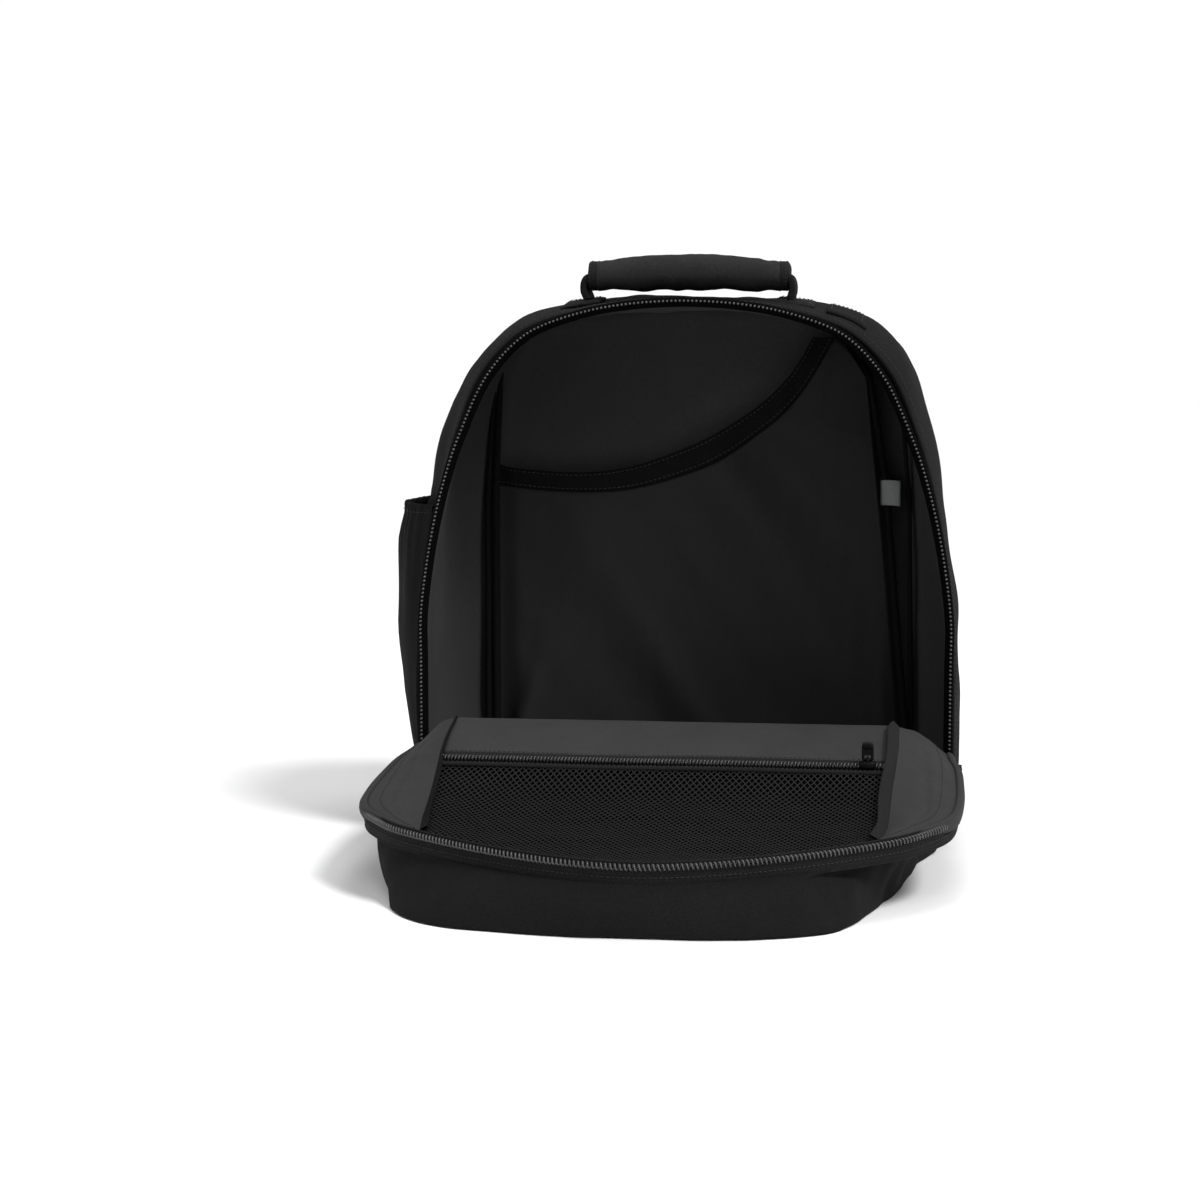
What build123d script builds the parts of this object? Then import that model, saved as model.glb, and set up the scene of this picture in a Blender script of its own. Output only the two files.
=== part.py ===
from build123d import *
import math
import os

import numpy as np

# Clamshell travel backpack, standing, with its front half (the lid) folded open on the floor.
# Frame (mm): origin on the floor under the middle of the main zip's plane, +X right,
# +Y towards the wearer's back panel, +Z up. The lid turns about a line along X at the
# zip's lower ends and lies towards -Y.

os.makedirs("parts", exist_ok=True)

# ------------------------------------------------------------------ driving dimensions
HINGE_Z = 57.0            # height of the fold line
LID_SLOPE = 3.86          # degrees the open lid's rim plane falls towards the front
DEPTH = 136.0             # body half, zip plane to back seam
BACK_Y = DEPTH + 0.3      # front face of the back panel
CLOTH = 3.0               # padded gusset wall
LINING_T = 1.0
EDGE = 12.5               # zip tape band between the zip plane and the gusset's edge
ZIP_X = 161.0             # straight run of the zip on each side
ZIP_Z0, ZIP_Z1 = 30.0, 135.0
STRAP_FACE_Y = 141.0      # front face of the yoke and the lower strap anchors

# Right half outlines (X, Z) of the body, floor to top centre, at the depths in STATIONS.
STATIONS = [0.0, 50.0, 100.0, DEPTH]
OUTLINE_ZIP = [
    (138, 0), (150, 3.5), (157.5, 13), (161, 30), (161, 60), (161, 85), (161, 110), (161, 135),
    (157.5, 165), (152, 195), (145, 222), (137, 245), (122, 278), (103, 301), (82, 313.5),
    (45, 323.5), (0, 327)]
OUTLINE_50 = [
    (140, 0), (153, 4), (161, 15), (165.5, 38), (167, 65), (167, 90), (166, 112), (164.5, 140),
    (161.5, 166), (157.5, 195), (152, 230), (145.5, 257), (136, 285), (117, 308), (92, 320.5),
    (48, 327.5), (0, 329)]
OUTLINE_100 = [
    (134, 0), (146, 4), (152, 15), (155, 38), (156, 65), (156, 90), (155.5, 112), (155, 140),
    (153, 166), (150, 195), (147, 230), (142, 257), (133, 286), (116, 309), (91, 321),
    (48, 327.5), (0, 329)]
OUTLINE_BACK = [
    (118, 0), (128, 4), (132.5, 15), (134, 38), (134, 65), (134, 90), (134, 112), (134, 140),
    (134, 166), (134, 195), (133.5, 230), (132, 257), (127, 288), (111, 309), (88, 318),
    (46, 323), (0, 325)]

# Right half of the lid's rim on its own plane (X, distance from the fold).
RIM = [
    (166, 52), (167, 75), (167.5, 100), (167, 125), (165.5, 148), (161, 165), (153, 180),
    (140, 198), (124, 212), (105, 225.5), (85, 238), (62, 250), (38, 259.5), (18, 264.5),
    (0, 266.5)]
# Right half of the lid's foot on the floor (X, -Y).
FOOT = [
    (150, 52), (149, 80), (146, 105), (143, 130), (139, 152), (134, 172), (129, 192), (123, 210),
    (116, 228), (106, 243), (92, 256), (72, 265.5), (48, 270.5), (24, 272), (0, 272)]

# Bands of the main zip: name, half thickness, start off the zip plane, depth.
ZIP_BANDS = [("zip_coil", 1.1, 0.7, 3.5), ("zip_tape", 0.4, 4.5, 7.5)]


# ------------------------------------------------------------------ outlines and planes
def full(half):
    """Mirror a right-hand half outline into a whole run, right foot to left foot."""
    return [tuple(p) for p in half] + [(-x, z) for x, z in reversed(half[:-1])]


def body_outline(y):
    """Outline of the body half at depth y, by the cubic through the four stations."""
    halves = (OUTLINE_ZIP, OUTLINE_50, OUTLINE_100, OUTLINE_BACK)
    outlines = [np.array(full(half), float) for half in halves]
    result = np.zeros_like(outlines[0])
    for i, yi in enumerate(STATIONS):
        weight = 1.0
        for j, yj in enumerate(STATIONS):
            if i != j:
                weight *= (y - yj) / (yi - yj)
        result += weight * outlines[i]
    return [tuple(p) for p in result]


def shift(points, distance):
    """Move a run to the right of its travel, which is outwards for the bag's outlines."""
    run = np.array(points, float)
    tangents = np.gradient(run, axis=0)
    tangents /= np.linalg.norm(tangents, axis=1)[:, None]
    normals = np.c_[tangents[:, 1], -tangents[:, 0]]
    return [tuple(p) for p in run + distance * normals]


def up_plane(y):
    """Plane facing the front at depth y: local x = X, local y = Z."""
    return Plane.XZ.offset(-y)


def tilted_plane(origin, angle):
    """Plane facing up, leaning towards +X by an angle in radians."""
    return Plane(origin=origin, x_dir=(math.cos(angle), 0, -math.sin(angle)),
                 z_dir=(math.sin(angle), 0, math.cos(angle)))


# ------------------------------------------------------------------ faces
# A BuildLine in a helper does not join the caller's sketch, so its edges are passed on by hand.
def polygon_face(*points):
    with BuildLine() as run:
        Polyline(*points, close=True)
    return make_face(run.edges())


def closed_face(points, extend=0.0):
    """Face inside a run, closed by a straight line, or by a box running `extend` past it."""
    with BuildLine() as run:
        Spline(*points)
        start, end = points[0], points[-1]
        if extend:
            Polyline(end, (end[0], end[1] - extend), (start[0], start[1] - extend), start)
        else:
            Line(end, start)
    make_face(run.edges())


def band_face(first, second):
    """Face between two runs that travel the same way."""
    back = second[::-1]
    with BuildLine() as run:
        Spline(*first)
        Line(first[-1], back[0])
        Spline(*back)
        Line(back[-1], first[0])
    make_face(run.edges())


def ribbon_face(points, right, left):
    """Thin face along a run, reaching `right` and `left` of its travel."""
    band_face(shift(points, right), shift(points, -left))


# ------------------------------------------------------------------ whole pieces
def save(builder, name):
    builder.part.label = name
    export_step(builder.part, "parts/" + name + ".step")


def sheet(name, plane, points, thick):
    """Flat panel inside a run, built against the plane's normal."""
    with BuildPart() as panel:
        with BuildSketch(plane):
            closed_face(points)
        extrude(amount=-thick)
    save(panel, name)


def strip(name, plane, points, right, left, amount):
    """Ribbon along a run, extruded off the plane."""
    with BuildPart() as ribbon:
        with BuildSketch(plane):
            ribbon_face(points, right, left)
        extrude(amount=amount)
    save(ribbon, name)


def body_ring(name, depths, inset, thick):
    """Ring of cloth round the body half between the first and last depth."""
    with BuildPart() as ring:
        for y in depths:
            with BuildSketch(up_plane(y)):
                closed_face(shift(body_outline(y), -inset))
        loft(ruled=True)
        for y in [depths[0] - 0.5, *depths[1:-1], depths[-1] + 0.5]:
            with BuildSketch(up_plane(y)):
                closed_face(shift(body_outline(y), -inset - thick))
        loft(ruled=True, mode=Mode.SUBTRACT)
    save(ring, name)


# ------------------------------------------------------------------ body half
RING_DEPTHS = [30, 50, 70, 90, 110, 124]
body_ring("body_gusset_shell", [EDGE, *RING_DEPTHS, DEPTH], 0.0, CLOTH)
body_ring("body_lining", [EDGE + 1, *RING_DEPTHS, 128], CLOTH + 1.5, LINING_T)

sheet("back_lining_panel", up_plane(128.8), shift(body_outline(130), -4.8), LINING_T)
sheet("back_foam", up_plane(130.4), shift(body_outline(DEPTH), -5.5), 5.0)

# outer back panel, rounded round its rear face
BACK_T = 4.2
with BuildPart() as back_panel:
    with BuildSketch(up_plane(BACK_Y)):
        closed_face(shift(body_outline(DEPTH), -1.0))
    extrude(amount=-BACK_T)
    fillet(back_panel.faces().sort_by(Axis.Y)[-1].edges(), 1.6)
save(back_panel, "back_panel")

strip("back_seam_binding", up_plane(BACK_Y), body_outline(DEPTH), 2.0, 0.6, -3.0)

with BuildPart() as base_board:
    with BuildSketch(Plane.XY.offset(6.6)):
        with Locations((0, 44)):
            RectangleRounded(236, 160, 14)
    extrude(amount=2.0)
save(base_board, "base_board")

# lower tub: floor, front and side walls, open at the top and the back
TUB_X = 155
TUB_FRONT, TUB_BACK = -46.0, 11.8
TUB_TOP = 50.0
TUB_CORNER = 26
TUB_INNER_X = TUB_X - CLOTH
TUB_INNER_FRONT = TUB_FRONT + CLOTH
TUB_CUT_BACK = 13         # the hollow runs out past the back
with BuildPart() as tub:
    with BuildSketch(Plane.XY):
        polygon_face((TUB_X, TUB_BACK), (TUB_X, TUB_FRONT), (-TUB_X, TUB_FRONT), (-TUB_X, TUB_BACK))
    extrude(amount=TUB_TOP)
    fillet(tub.edges().filter_by(Axis.Z).group_by(Axis.Y)[0], TUB_CORNER)
    with BuildSketch(Plane.XY.offset(CLOTH)):
        hollow = polygon_face((TUB_INNER_X, TUB_CUT_BACK), (TUB_INNER_X, TUB_INNER_FRONT),
                              (-TUB_INNER_X, TUB_INNER_FRONT), (-TUB_INNER_X, TUB_CUT_BACK))
        fillet(hollow.vertices().group_by(Axis.Y)[0], TUB_CORNER - CLOTH)
    extrude(amount=TUB_TOP, mode=Mode.SUBTRACT)
save(tub, "lower_front_panel")

# ------------------------------------------------------------------ laptop sleeve
SLEEVE_Y = 110.5
# upper and lower edges (X, Z) of the binding along the sleeve's mouth
BAND_TOP = [(-127, 220), (-115, 218), (-78, 216), (-47, 220), (-19, 229), (8, 241), (36, 259),
            (54, 276), (68, 299)]
BAND_LOW = [(-127, 208), (-102, 205), (-71, 204), (-45, 206), (-15, 214), (12, 225), (36, 241),
            (54, 256), (69, 275), (82, 299)]
# rest of the sleeve's outline (X, Z), from the mouth's right end round to the lower left
SLEEVE_SIDE = [(95, 294), (105, 276), (116, 211), (128.5, 55), (128.5, 9), (-127, 9)]

with BuildPart() as sleeve_panel:
    with BuildSketch(up_plane(SLEEVE_Y)):
        with BuildLine():
            mouth = [(x, z - 0.4) for x, z in BAND_LOW]
            Spline(*mouth)
            Polyline(mouth[-1], *SLEEVE_SIDE, mouth[0])
        make_face()
    extrude(amount=-1.8)
save(sleeve_panel, "laptop_sleeve_panel")

with BuildPart() as sleeve_binding:
    with BuildSketch(up_plane(SLEEVE_Y - 0.8)):
        band_face(BAND_TOP, BAND_LOW)
    extrude(amount=-3.2)
save(sleeve_binding, "laptop_sleeve_binding")

for side, tag in ((-1, "left"), (1, "right")):
    with BuildPart() as sleeve_seam:
        with BuildSketch(Plane.XY.offset(9.5)):
            with Locations((side * 129.6, 120)):
                Rectangle(2.0, 16)
        extrude(amount=200)
    save(sleeve_seam, "sleeve_seam_" + tag)

with BuildPart() as care_label:
    with BuildSketch(up_plane(SLEEVE_Y - 1.4)):
        with Locations((114, 205)):
            RectangleRounded(12, 16, 0.8)
    extrude(amount=-0.6)
save(care_label, "care_label")


# ------------------------------------------------------------------ main zip, body side
def zip_run(offset):
    """Arch of the zip, moved outwards by `offset`, above the straight sides."""
    arch = [p for p in body_outline(0) if p[1] >= ZIP_Z1 - 0.01]
    points = shift(arch, offset)
    points[0], points[-1] = (ZIP_X + offset, ZIP_Z1), (-ZIP_X - offset, ZIP_Z1)
    return points


def zip_arch_face(half_thick):
    """Band along the arch and down both straight sides."""
    outer, inner = zip_run(half_thick), zip_run(-half_thick)
    with BuildLine() as run:
        Spline(*outer, tangents=[(0, 1), (0, -1)])
        Polyline(outer[-1], (outer[-1][0], ZIP_Z0), (inner[-1][0], ZIP_Z0), inner[-1])
        Spline(*inner[::-1], tangents=[(0, 1), (0, -1)])
        Polyline(inner[0], (inner[0][0], ZIP_Z0), (outer[0][0], ZIP_Z0), outer[0])
    make_face(run.edges())


for band, half_thick, start, depth in ZIP_BANDS:
    with BuildPart() as body_zip:
        with BuildSketch(up_plane(start)):
            zip_arch_face(half_thick)
        extrude(amount=-depth)
    save(body_zip, "body_" + band)

with BuildPart() as zip_end_stops:
    with Locations((ZIP_X, 2.6, 27.4), (-ZIP_X, 2.6, 27.4)):
        Box(3.4, 5.0, 4.0)
    fillet(zip_end_stops.edges().filter_by(Axis.Z), 0.8)
save(zip_end_stops, "zip_end_stops")

# ------------------------------------------------------------------ zip sliders and pulls
PLATE_T = 1.5             # slider plate
PIN_RISE = 3.7            # pull's pin above the slider's inner face
EAR_T, EAR_LENGTH, EAR_HEIGHT = 1.2, 5, 3.8
EAR_OFFSET = 2.8
BRIDGE_LENGTH = 6
NECK_END = 4.2            # where the pull widens, from the pin
NECK_WIDTH = 3.8
PULL_T = 1.6


def normal_edges(builder, plane):
    """Edges that run along the plane's normal."""
    return builder.edges().filter_by(lambda e: abs(e.tangent_at(0.5).dot(plane.z_dir)) > 0.99)


def slider(name, plane, length, width, gap, bridge=None, turned=False):
    """Slider on its coil. Local x runs along the coil, local z out of the face.

    gap: coil centre to plate; bridge: local y range of the block joining a second plate
    behind the coil; turned: pin along local x instead of local y.
    """
    with BuildPart(plane) as body:
        with Locations((0, 0, gap + PLATE_T / 2)):
            Box(length, width, PLATE_T)
        fillet(normal_edges(body, plane), width * 0.3)
        if bridge:
            with Locations((0, 0, -gap - PLATE_T / 2)):
                Box(length, width, PLATE_T)
            with Locations(((length - BRIDGE_LENGTH) / 2, (bridge[0] + bridge[1]) / 2, 0)):
                Box(BRIDGE_LENGTH, bridge[1] - bridge[0], 2 * gap + 0.2)
        for sign in (1, -1):
            offset = sign * EAR_OFFSET
            with Locations((offset if turned else 0, 0 if turned else offset, gap + 3.2)):
                Box(EAR_T if turned else EAR_LENGTH, EAR_LENGTH if turned else EAR_T, EAR_HEIGHT)
        with Locations(Location((0, 0, gap + PIN_RISE), (0, 90, 0) if turned else (90, 0, 0))):
            Cylinder(0.8, 5.8)
    save(body, name)


def pull(name, plane, gap, length):
    """Pull tab on the slider's pin, lying along local -x."""
    pin_z = gap + PIN_RISE
    tab_length = length - NECK_END
    with BuildPart(plane) as tab:
        with Locations(Location((0, 0, pin_z), (90, 0, 0))):
            Cylinder(1.8, NECK_WIDTH)
        with Locations((-2.6, 0, pin_z)):
            Box(3.6, NECK_WIDTH, PULL_T)
        with Locations((-NECK_END - tab_length / 2, 0, pin_z)):
            Box(tab_length, 7.6, PULL_T)
        far_edges = normal_edges(tab, plane).filter_by(
            lambda e: plane.to_local_coords(e).center().X < -length + 1)
        fillet(far_edges, 3.0)
        with Locations(Location((0, 0, pin_z), (90, 0, 0))):
            Cylinder(1.0, 12, mode=Mode.SUBTRACT)
    save(tab, name)


SLIDER_Z = 47.0
MAIN_GAP = 2.3
for side, tag, bridge in ((1, "right", (-0.2, 1.5)), (-1, "left", (-1.5, 0.2))):
    side_plane = Plane(origin=(side * ZIP_X, 0, SLIDER_Z), x_dir=(0, 0, 1), z_dir=(side, 0, 0))
    slider("main_slider_" + tag, side_plane, length=18, width=12, gap=MAIN_GAP, bridge=bridge)
    pull("main_pull_" + tag, side_plane, gap=MAIN_GAP, length=33)

# ------------------------------------------------------------------ grab handle
GRIP_X0, GRIP_X1 = -56.0, 64.0
GRIP_Y = 50.0
HANDLE_Z = 333.5
GRIP_BINDING_W = 5.8
GRIP_BINDING_OVER = 0.4   # binding past the grip's end


def grip_plane(x, rise):
    """Cross-section plane of the grip: local x = Y, local y = Z."""
    return Plane(origin=(x, GRIP_Y, HANDLE_Z + rise), x_dir=(0, 1, 0), z_dir=(1, 0, 0))


with BuildPart() as anchor_patches:
    for x, tilt in ((-60, -8.0), (67, 8.0)):
        with BuildSketch(tilted_plane((x, GRIP_Y, 327.9), math.radians(tilt))):
            RectangleRounded(20, 34, 3)
        extrude(amount=1.6)
save(anchor_patches, "handle_anchor_patches")

# at each end a narrow upright web, then a wide one that leans in over the grip
WEB_NARROW, WEB_WIDE = 7, 25
with BuildPart() as handle_webbing:
    for x, inward in ((GRIP_X0 - 7.5, 1), (GRIP_X1 + 7.5, -1)):
        with BuildSketch(up_plane(GRIP_Y - WEB_NARROW / 2)):
            polygon_face((x, HANDLE_Z + 0.6), (x + inward * 2, HANDLE_Z + 0.6),
                         (x + inward * 2, HANDLE_Z + 9.6), (x, HANDLE_Z + 9.6))
        extrude(amount=-WEB_NARROW)
        with BuildSketch(up_plane(GRIP_Y - WEB_WIDE / 2)):
            polygon_face((x, HANDLE_Z + 9.2), (x + inward * 2, HANDLE_Z + 9.2),
                         (x + inward * 6.6, HANDLE_Z + 11.5), (x + inward * 6.6, HANDLE_Z + 13.5),
                         (x + inward * 0.6, HANDLE_Z + 11.5))
        extrude(amount=-WEB_WIDE)
save(handle_webbing, "handle_webbing")

# stations: X, half height of the section
GRIP_STATIONS = [(GRIP_X0 + 6, 8.6), (GRIP_X0 + 40, 10.6), (GRIP_X1 - 40, 10.6),
                 (GRIP_X1 - 6, 8.6)]
with BuildPart() as handle_grip:
    for x, half_height in GRIP_STATIONS:
        with BuildSketch(grip_plane(x, 12.2)):
            Ellipse(half_height + 5.5, half_height)
    loft()
save(handle_grip, "handle_grip")

with BuildPart() as end_bindings:
    for x in (GRIP_X0 - GRIP_BINDING_OVER, GRIP_X1 + GRIP_BINDING_OVER - GRIP_BINDING_W):
        with BuildSketch(grip_plane(x, 12.0)):
            Ellipse(14.5, 8.9)
        extrude(amount=GRIP_BINDING_W)
save(end_bindings, "handle_end_bindings")

with BuildPart() as top_tab:
    with BuildSketch(tilted_plane((91, 34, 322.4), 0.36)):
        RectangleRounded(22, 26, 4)
    extrude(amount=2.4)
save(top_tab, "top_tab")

# ------------------------------------------------------------------ side pocket on the left
# plan of the pocket wall's inner face (X, Y), front to back
POCKET = [(-168.6, 24), (-177, 34), (-183, 52), (-184, 74), (-178, 96), (-167, 110), (-158, 117)]
with BuildPart() as pocket_panel:
    with BuildSketch(Plane.XY.offset(14)):
        ribbon_face(POCKET, 0.0, 2.0)
    extrude(amount=184)
    with BuildSketch(Plane.XY.offset(12)):
        closed_face(POCKET)
    extrude(amount=3.0)
save(pocket_panel, "side_pocket_panel")

strip("side_pocket_hem", Plane.XY.offset(198.4), POCKET, 0.0, 3.0, 7)

# ------------------------------------------------------------------ shoulder straps on the back
STRAP_TOP = (45.0, 303.0)     # X, Z of the strap line's ends, right side
STRAP_LOW = (122.0, 26.0)
# front face of the strap pad (distance down the strap, Y)
PAD_RUN = [(30, 163), (65, 174), (110, 180), (155, 178), (190, 170), (212, 162)]
PAD_T = 10


def strap_plane(side):
    """Local x runs down the strap, local y is Y and local z runs across the strap."""
    dx, dz = (STRAP_LOW[0] - STRAP_TOP[0]) * side, STRAP_LOW[1] - STRAP_TOP[1]
    length = math.hypot(dx, dz)
    return Plane(origin=(STRAP_TOP[0] * side, 0, STRAP_TOP[1]),
                 x_dir=(dx / length, 0, dz / length), z_dir=(-dz / length, 0, dx / length))


with BuildPart() as strap_yoke:
    with BuildSketch(up_plane(STRAP_FACE_Y)):
        yoke = polygon_face((-72, 316), (72, 316), (66, 288), (24, 282), (-24, 282), (-66, 288))
        fillet(yoke.vertices(), 6)
    extrude(amount=-3.2)
save(strap_yoke, "strap_yoke")

with BuildPart() as bottom_anchors:
    for side in (1, -1):
        with BuildSketch(up_plane(STRAP_FACE_Y)):
            polygon_face((side * 112, 22), (side * 132, 24), (side * 132, 9), (side * 104, 9))
        extrude(amount=-2.6)
save(bottom_anchors, "strap_bottom_anchors")

for side, tag in ((-1, "left"), (1, "right")):
    plane = strap_plane(side)
    with BuildPart() as shoulder_strap:
        with BuildSketch(plane):
            band_face(PAD_RUN, [(x, y + PAD_T) for x, y in PAD_RUN])
        extrude(amount=29, both=True)
    save(shoulder_strap, "shoulder_strap_" + tag)

    # short web above the pad and a longer one below the ladder lock
    with BuildPart() as strap_webbing:
        with BuildSketch(plane):
            polygon_face((24, 147), (26, 147), (29.6, 167), (29.6, 169.5), (27.5, 169.5))
            polygon_face((235, 161), (235, 163), (281, 149.2), (281, 147.2))
        extrude(amount=12.5, both=True)
    save(strap_webbing, "strap_webbing_" + tag)

    with BuildPart() as ladder_lock:
        with BuildSketch(plane):
            polygon_face((213, 160), (234.5, 159), (234.5, 167), (213, 168))
        extrude(amount=17, both=True)
        with BuildSketch(plane):
            with Locations((218.5, 164), (224, 164), (229.5, 164)):
                Rectangle(2.6, 20)
        extrude(amount=12.8, both=True, mode=Mode.SUBTRACT)
    save(ladder_lock, "ladder_lock_" + tag)

    with BuildPart() as strap_tail:
        with BuildSketch(plane):
            with Locations((260, 170)):
                Rectangle(72, 1.8)
        extrude(amount=12, both=True)
    save(strap_tail, "strap_tail_" + tag)

# ------------------------------------------------------------------ lid, open on the floor
# On these planes local x = X, local y points to the front and the normal points down.
slope = math.radians(LID_SLOPE)
lid_plane = Plane(origin=(0, 0, HINGE_Z), x_dir=(1, 0, 0),
                  z_dir=(0, math.sin(slope), -math.cos(slope)))
floor_plane = Plane(origin=(0, 0, 0.5), x_dir=(1, 0, 0), z_dir=(0, 0, -1))
# outline between rim and foot, bulging a little outwards
MIDDLE = [((p[0] + q[0]) / 2 + (3 if p[0] else 0), (p[1] + q[1]) / 2 + (1.5 if p[1] > 100 else 0))
          for p, q in zip(RIM, FOOT)]
MIDDLE_DROP = 30          # middle outline below the rim plane


def lid_ring(name, inset, thick, top, lift):
    """Cloth wall round the lid, open at the fold, from `top` below the rim plane to `lift`
    above the floor plane."""
    middle_plane = lid_plane.offset(MIDDLE_DROP)
    with BuildPart() as ring:
        for plane, half in ((lid_plane.offset(top), RIM), (middle_plane, MIDDLE),
                            (floor_plane.offset(-lift), FOOT)):
            with BuildSketch(plane):
                closed_face(shift(full(half), -inset))
        loft(ruled=True)
        for plane, half in ((lid_plane.offset(top - 0.5), RIM), (middle_plane, MIDDLE),
                            (floor_plane.offset(0.4 - lift), FOOT)):
            with BuildSketch(plane):
                closed_face(shift(full(half), -inset - thick), extend=8)
        loft(ruled=True, mode=Mode.SUBTRACT)
    save(ring, name)


lid_ring("lid_gusset_shell", inset=0.0, thick=CLOTH, top=EDGE, lift=0.0)
lid_ring("lid_gusset_lining", inset=CLOTH + 8.0, thick=LINING_T, top=EDGE + 2, lift=7.0)

sheet("lid_front_panel", floor_plane, shift(full(FOOT), -6.0), 2.4)
sheet("lid_floor_lining", floor_plane.offset(-4.0), shift(full(FOOT), -10.0), LINING_T)

INNER_HALF_X = 118
with BuildPart() as lid_inner_panel:
    with BuildSketch(Plane.YZ.offset(-INNER_HALF_X)):
        polygon_face((-56, 73.5), (-94, 64.6), (-94, 63), (-56, 71.9))
    extrude(amount=2 * INNER_HALF_X)
save(lid_inner_panel, "lid_inner_panel")

for side, tag in ((-1, "left"), (1, "right")):
    with BuildPart() as seam_binding:
        with BuildSketch(Plane.YZ.offset(side * 124.5)):
            polygon_face((-56, 68), (-56, 77), (-112, 66), (-155, 48), (-155, 41), (-112, 58))
        extrude(amount=1.3, both=True)
    save(seam_binding, "lid_seam_binding_" + tag)

# main zip, lid side: the part of the rim from here to the front
LID_ZIP_START = 99.9
lid_zip_run = [p for p in full(RIM) if p[1] >= LID_ZIP_START]
for band, half_thick, start, depth in ZIP_BANDS:
    strip("lid_" + band, lid_plane.offset(start), lid_zip_run, half_thick, half_thick, depth)

# ------------------------------------------------------------------ mesh pocket in the lid
MESH_ZIP_LENGTH = 240
MESH_ZIP_Y, MESH_ZIP_Z = -101.0, 64.2
MESH_SLIDER_X = 108.0
MESH_GAP = 1.5
MESH_HALF_X = 130         # half width of the mesh before it is trimmed to its outline
MESH_T = 1.4
# upper face of the mesh (Y, Z), fold end to front
MESH_PROFILE = [(-112, 61.5), (-130, 51.5), (-150, 43), (-185, 36), (-220, 31.5), (-250, 28.5)]
# right half of the mesh's outline from above (X, -Y)
MESH_OUTLINE = [(119, 108), (118, 140), (114, 170), (108, 195), (96, 218), (74, 236), (40, 247),
                (0, 250)]

with BuildPart() as mesh_zip_tape:
    with Locations((0, MESH_ZIP_Y - 4.2, MESH_ZIP_Z), (0, MESH_ZIP_Y + 4.2, MESH_ZIP_Z)):
        Box(MESH_ZIP_LENGTH, 4.6, 0.7)
save(mesh_zip_tape, "mesh_zip_tape")

with BuildPart() as mesh_zip_coil:
    with Locations((0, MESH_ZIP_Y, MESH_ZIP_Z)):
        Box(MESH_ZIP_LENGTH, 3.2, 2.0)
save(mesh_zip_coil, "mesh_zip_coil")

mesh_plane = Plane(origin=(MESH_SLIDER_X, MESH_ZIP_Y, MESH_ZIP_Z), x_dir=(1, 0, 0),
                   z_dir=(0, 0, 1))
slider("mesh_slider", mesh_plane, length=12, width=7.6, gap=MESH_GAP, turned=True)

# the pull stands up from the slider's pin
mesh_pin_rise = MESH_GAP + PIN_RISE
tab_plane = Plane(origin=(MESH_SLIDER_X, MESH_ZIP_Y - mesh_pin_rise, MESH_ZIP_Z + mesh_pin_rise),
                  x_dir=(0, 0, -1), z_dir=(0, 1, 0))
pull("mesh_pull", tab_plane, gap=MESH_GAP, length=16)

with BuildPart() as mesh_binding:
    with Locations((0, MESH_ZIP_Y - 8.6, MESH_ZIP_Z - 1.2)):
        Box(MESH_ZIP_LENGTH, 3.0, 2.6)
    fillet(mesh_binding.edges().filter_by(Axis.X), 1.0)
save(mesh_binding, "mesh_pocket_binding")

# sagging sheet, trimmed to its outline by a tall prism
with BuildPart() as mesh_panel:
    with BuildSketch(Plane.YZ.offset(-MESH_HALF_X)):
        band_face(MESH_PROFILE, [(y, z - MESH_T) for y, z in MESH_PROFILE])
    extrude(amount=2 * MESH_HALF_X)
    with BuildSketch(Plane(origin=(0, 0, 0), x_dir=(1, 0, 0), z_dir=(0, 0, -1))):
        closed_face(full(MESH_OUTLINE))
    extrude(amount=-80, mode=Mode.INTERSECT)
save(mesh_panel, "mesh_pocket_panel")
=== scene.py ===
import bpy, bmesh, math
import numpy as np
from mathutils import Vector, Matrix


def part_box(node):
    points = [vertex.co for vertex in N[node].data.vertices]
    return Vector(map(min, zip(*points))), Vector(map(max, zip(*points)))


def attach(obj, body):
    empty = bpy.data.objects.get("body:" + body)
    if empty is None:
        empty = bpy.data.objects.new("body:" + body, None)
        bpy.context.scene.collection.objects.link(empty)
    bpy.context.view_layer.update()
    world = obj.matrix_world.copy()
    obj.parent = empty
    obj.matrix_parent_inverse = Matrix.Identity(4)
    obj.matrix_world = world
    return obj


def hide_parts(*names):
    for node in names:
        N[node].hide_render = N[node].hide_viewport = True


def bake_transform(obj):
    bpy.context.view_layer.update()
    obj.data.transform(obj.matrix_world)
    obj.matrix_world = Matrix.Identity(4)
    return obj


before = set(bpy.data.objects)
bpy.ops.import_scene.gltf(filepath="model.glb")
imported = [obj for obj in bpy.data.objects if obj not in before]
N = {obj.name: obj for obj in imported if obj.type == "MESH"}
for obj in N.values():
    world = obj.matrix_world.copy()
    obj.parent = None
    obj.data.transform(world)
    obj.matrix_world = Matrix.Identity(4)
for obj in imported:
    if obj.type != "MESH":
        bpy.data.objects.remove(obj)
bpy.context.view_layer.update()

# ---------------------------------------------------------------- small tools (all lengths in mm until the mesh is made)
def catmull(pts, m):
    """m points along a smooth run through pts."""
    p = np.array(pts, float)
    p = np.vstack([2 * p[0] - p[1], p, 2 * p[-1] - p[-2]])
    n = len(p) - 3
    t = np.linspace(0, n, m)
    i = np.minimum(t.astype(int), n - 1)
    f = (t - i)[:, None]
    a, b, c, d = p[i], p[i + 1], p[i + 2], p[i + 3]
    return 0.5 * (2 * b + (c - a) * f + (2 * a - 5 * b + 4 * c - d) * f ** 2 + (3 * b - a - 3 * c + d) * f ** 3)


def even(pts, m):
    """Resample a run of points evenly by length."""
    p = np.array(pts, float)
    s = np.r_[0, np.cumsum(np.linalg.norm(np.diff(p, axis=0), axis=1))]
    t = np.linspace(0, s[-1], m)
    return np.stack([np.interp(t, s, p[:, k]) for k in range(p.shape[1])], 1)


def lerp(a, b, t):
    return a + (b - a) * t


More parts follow.
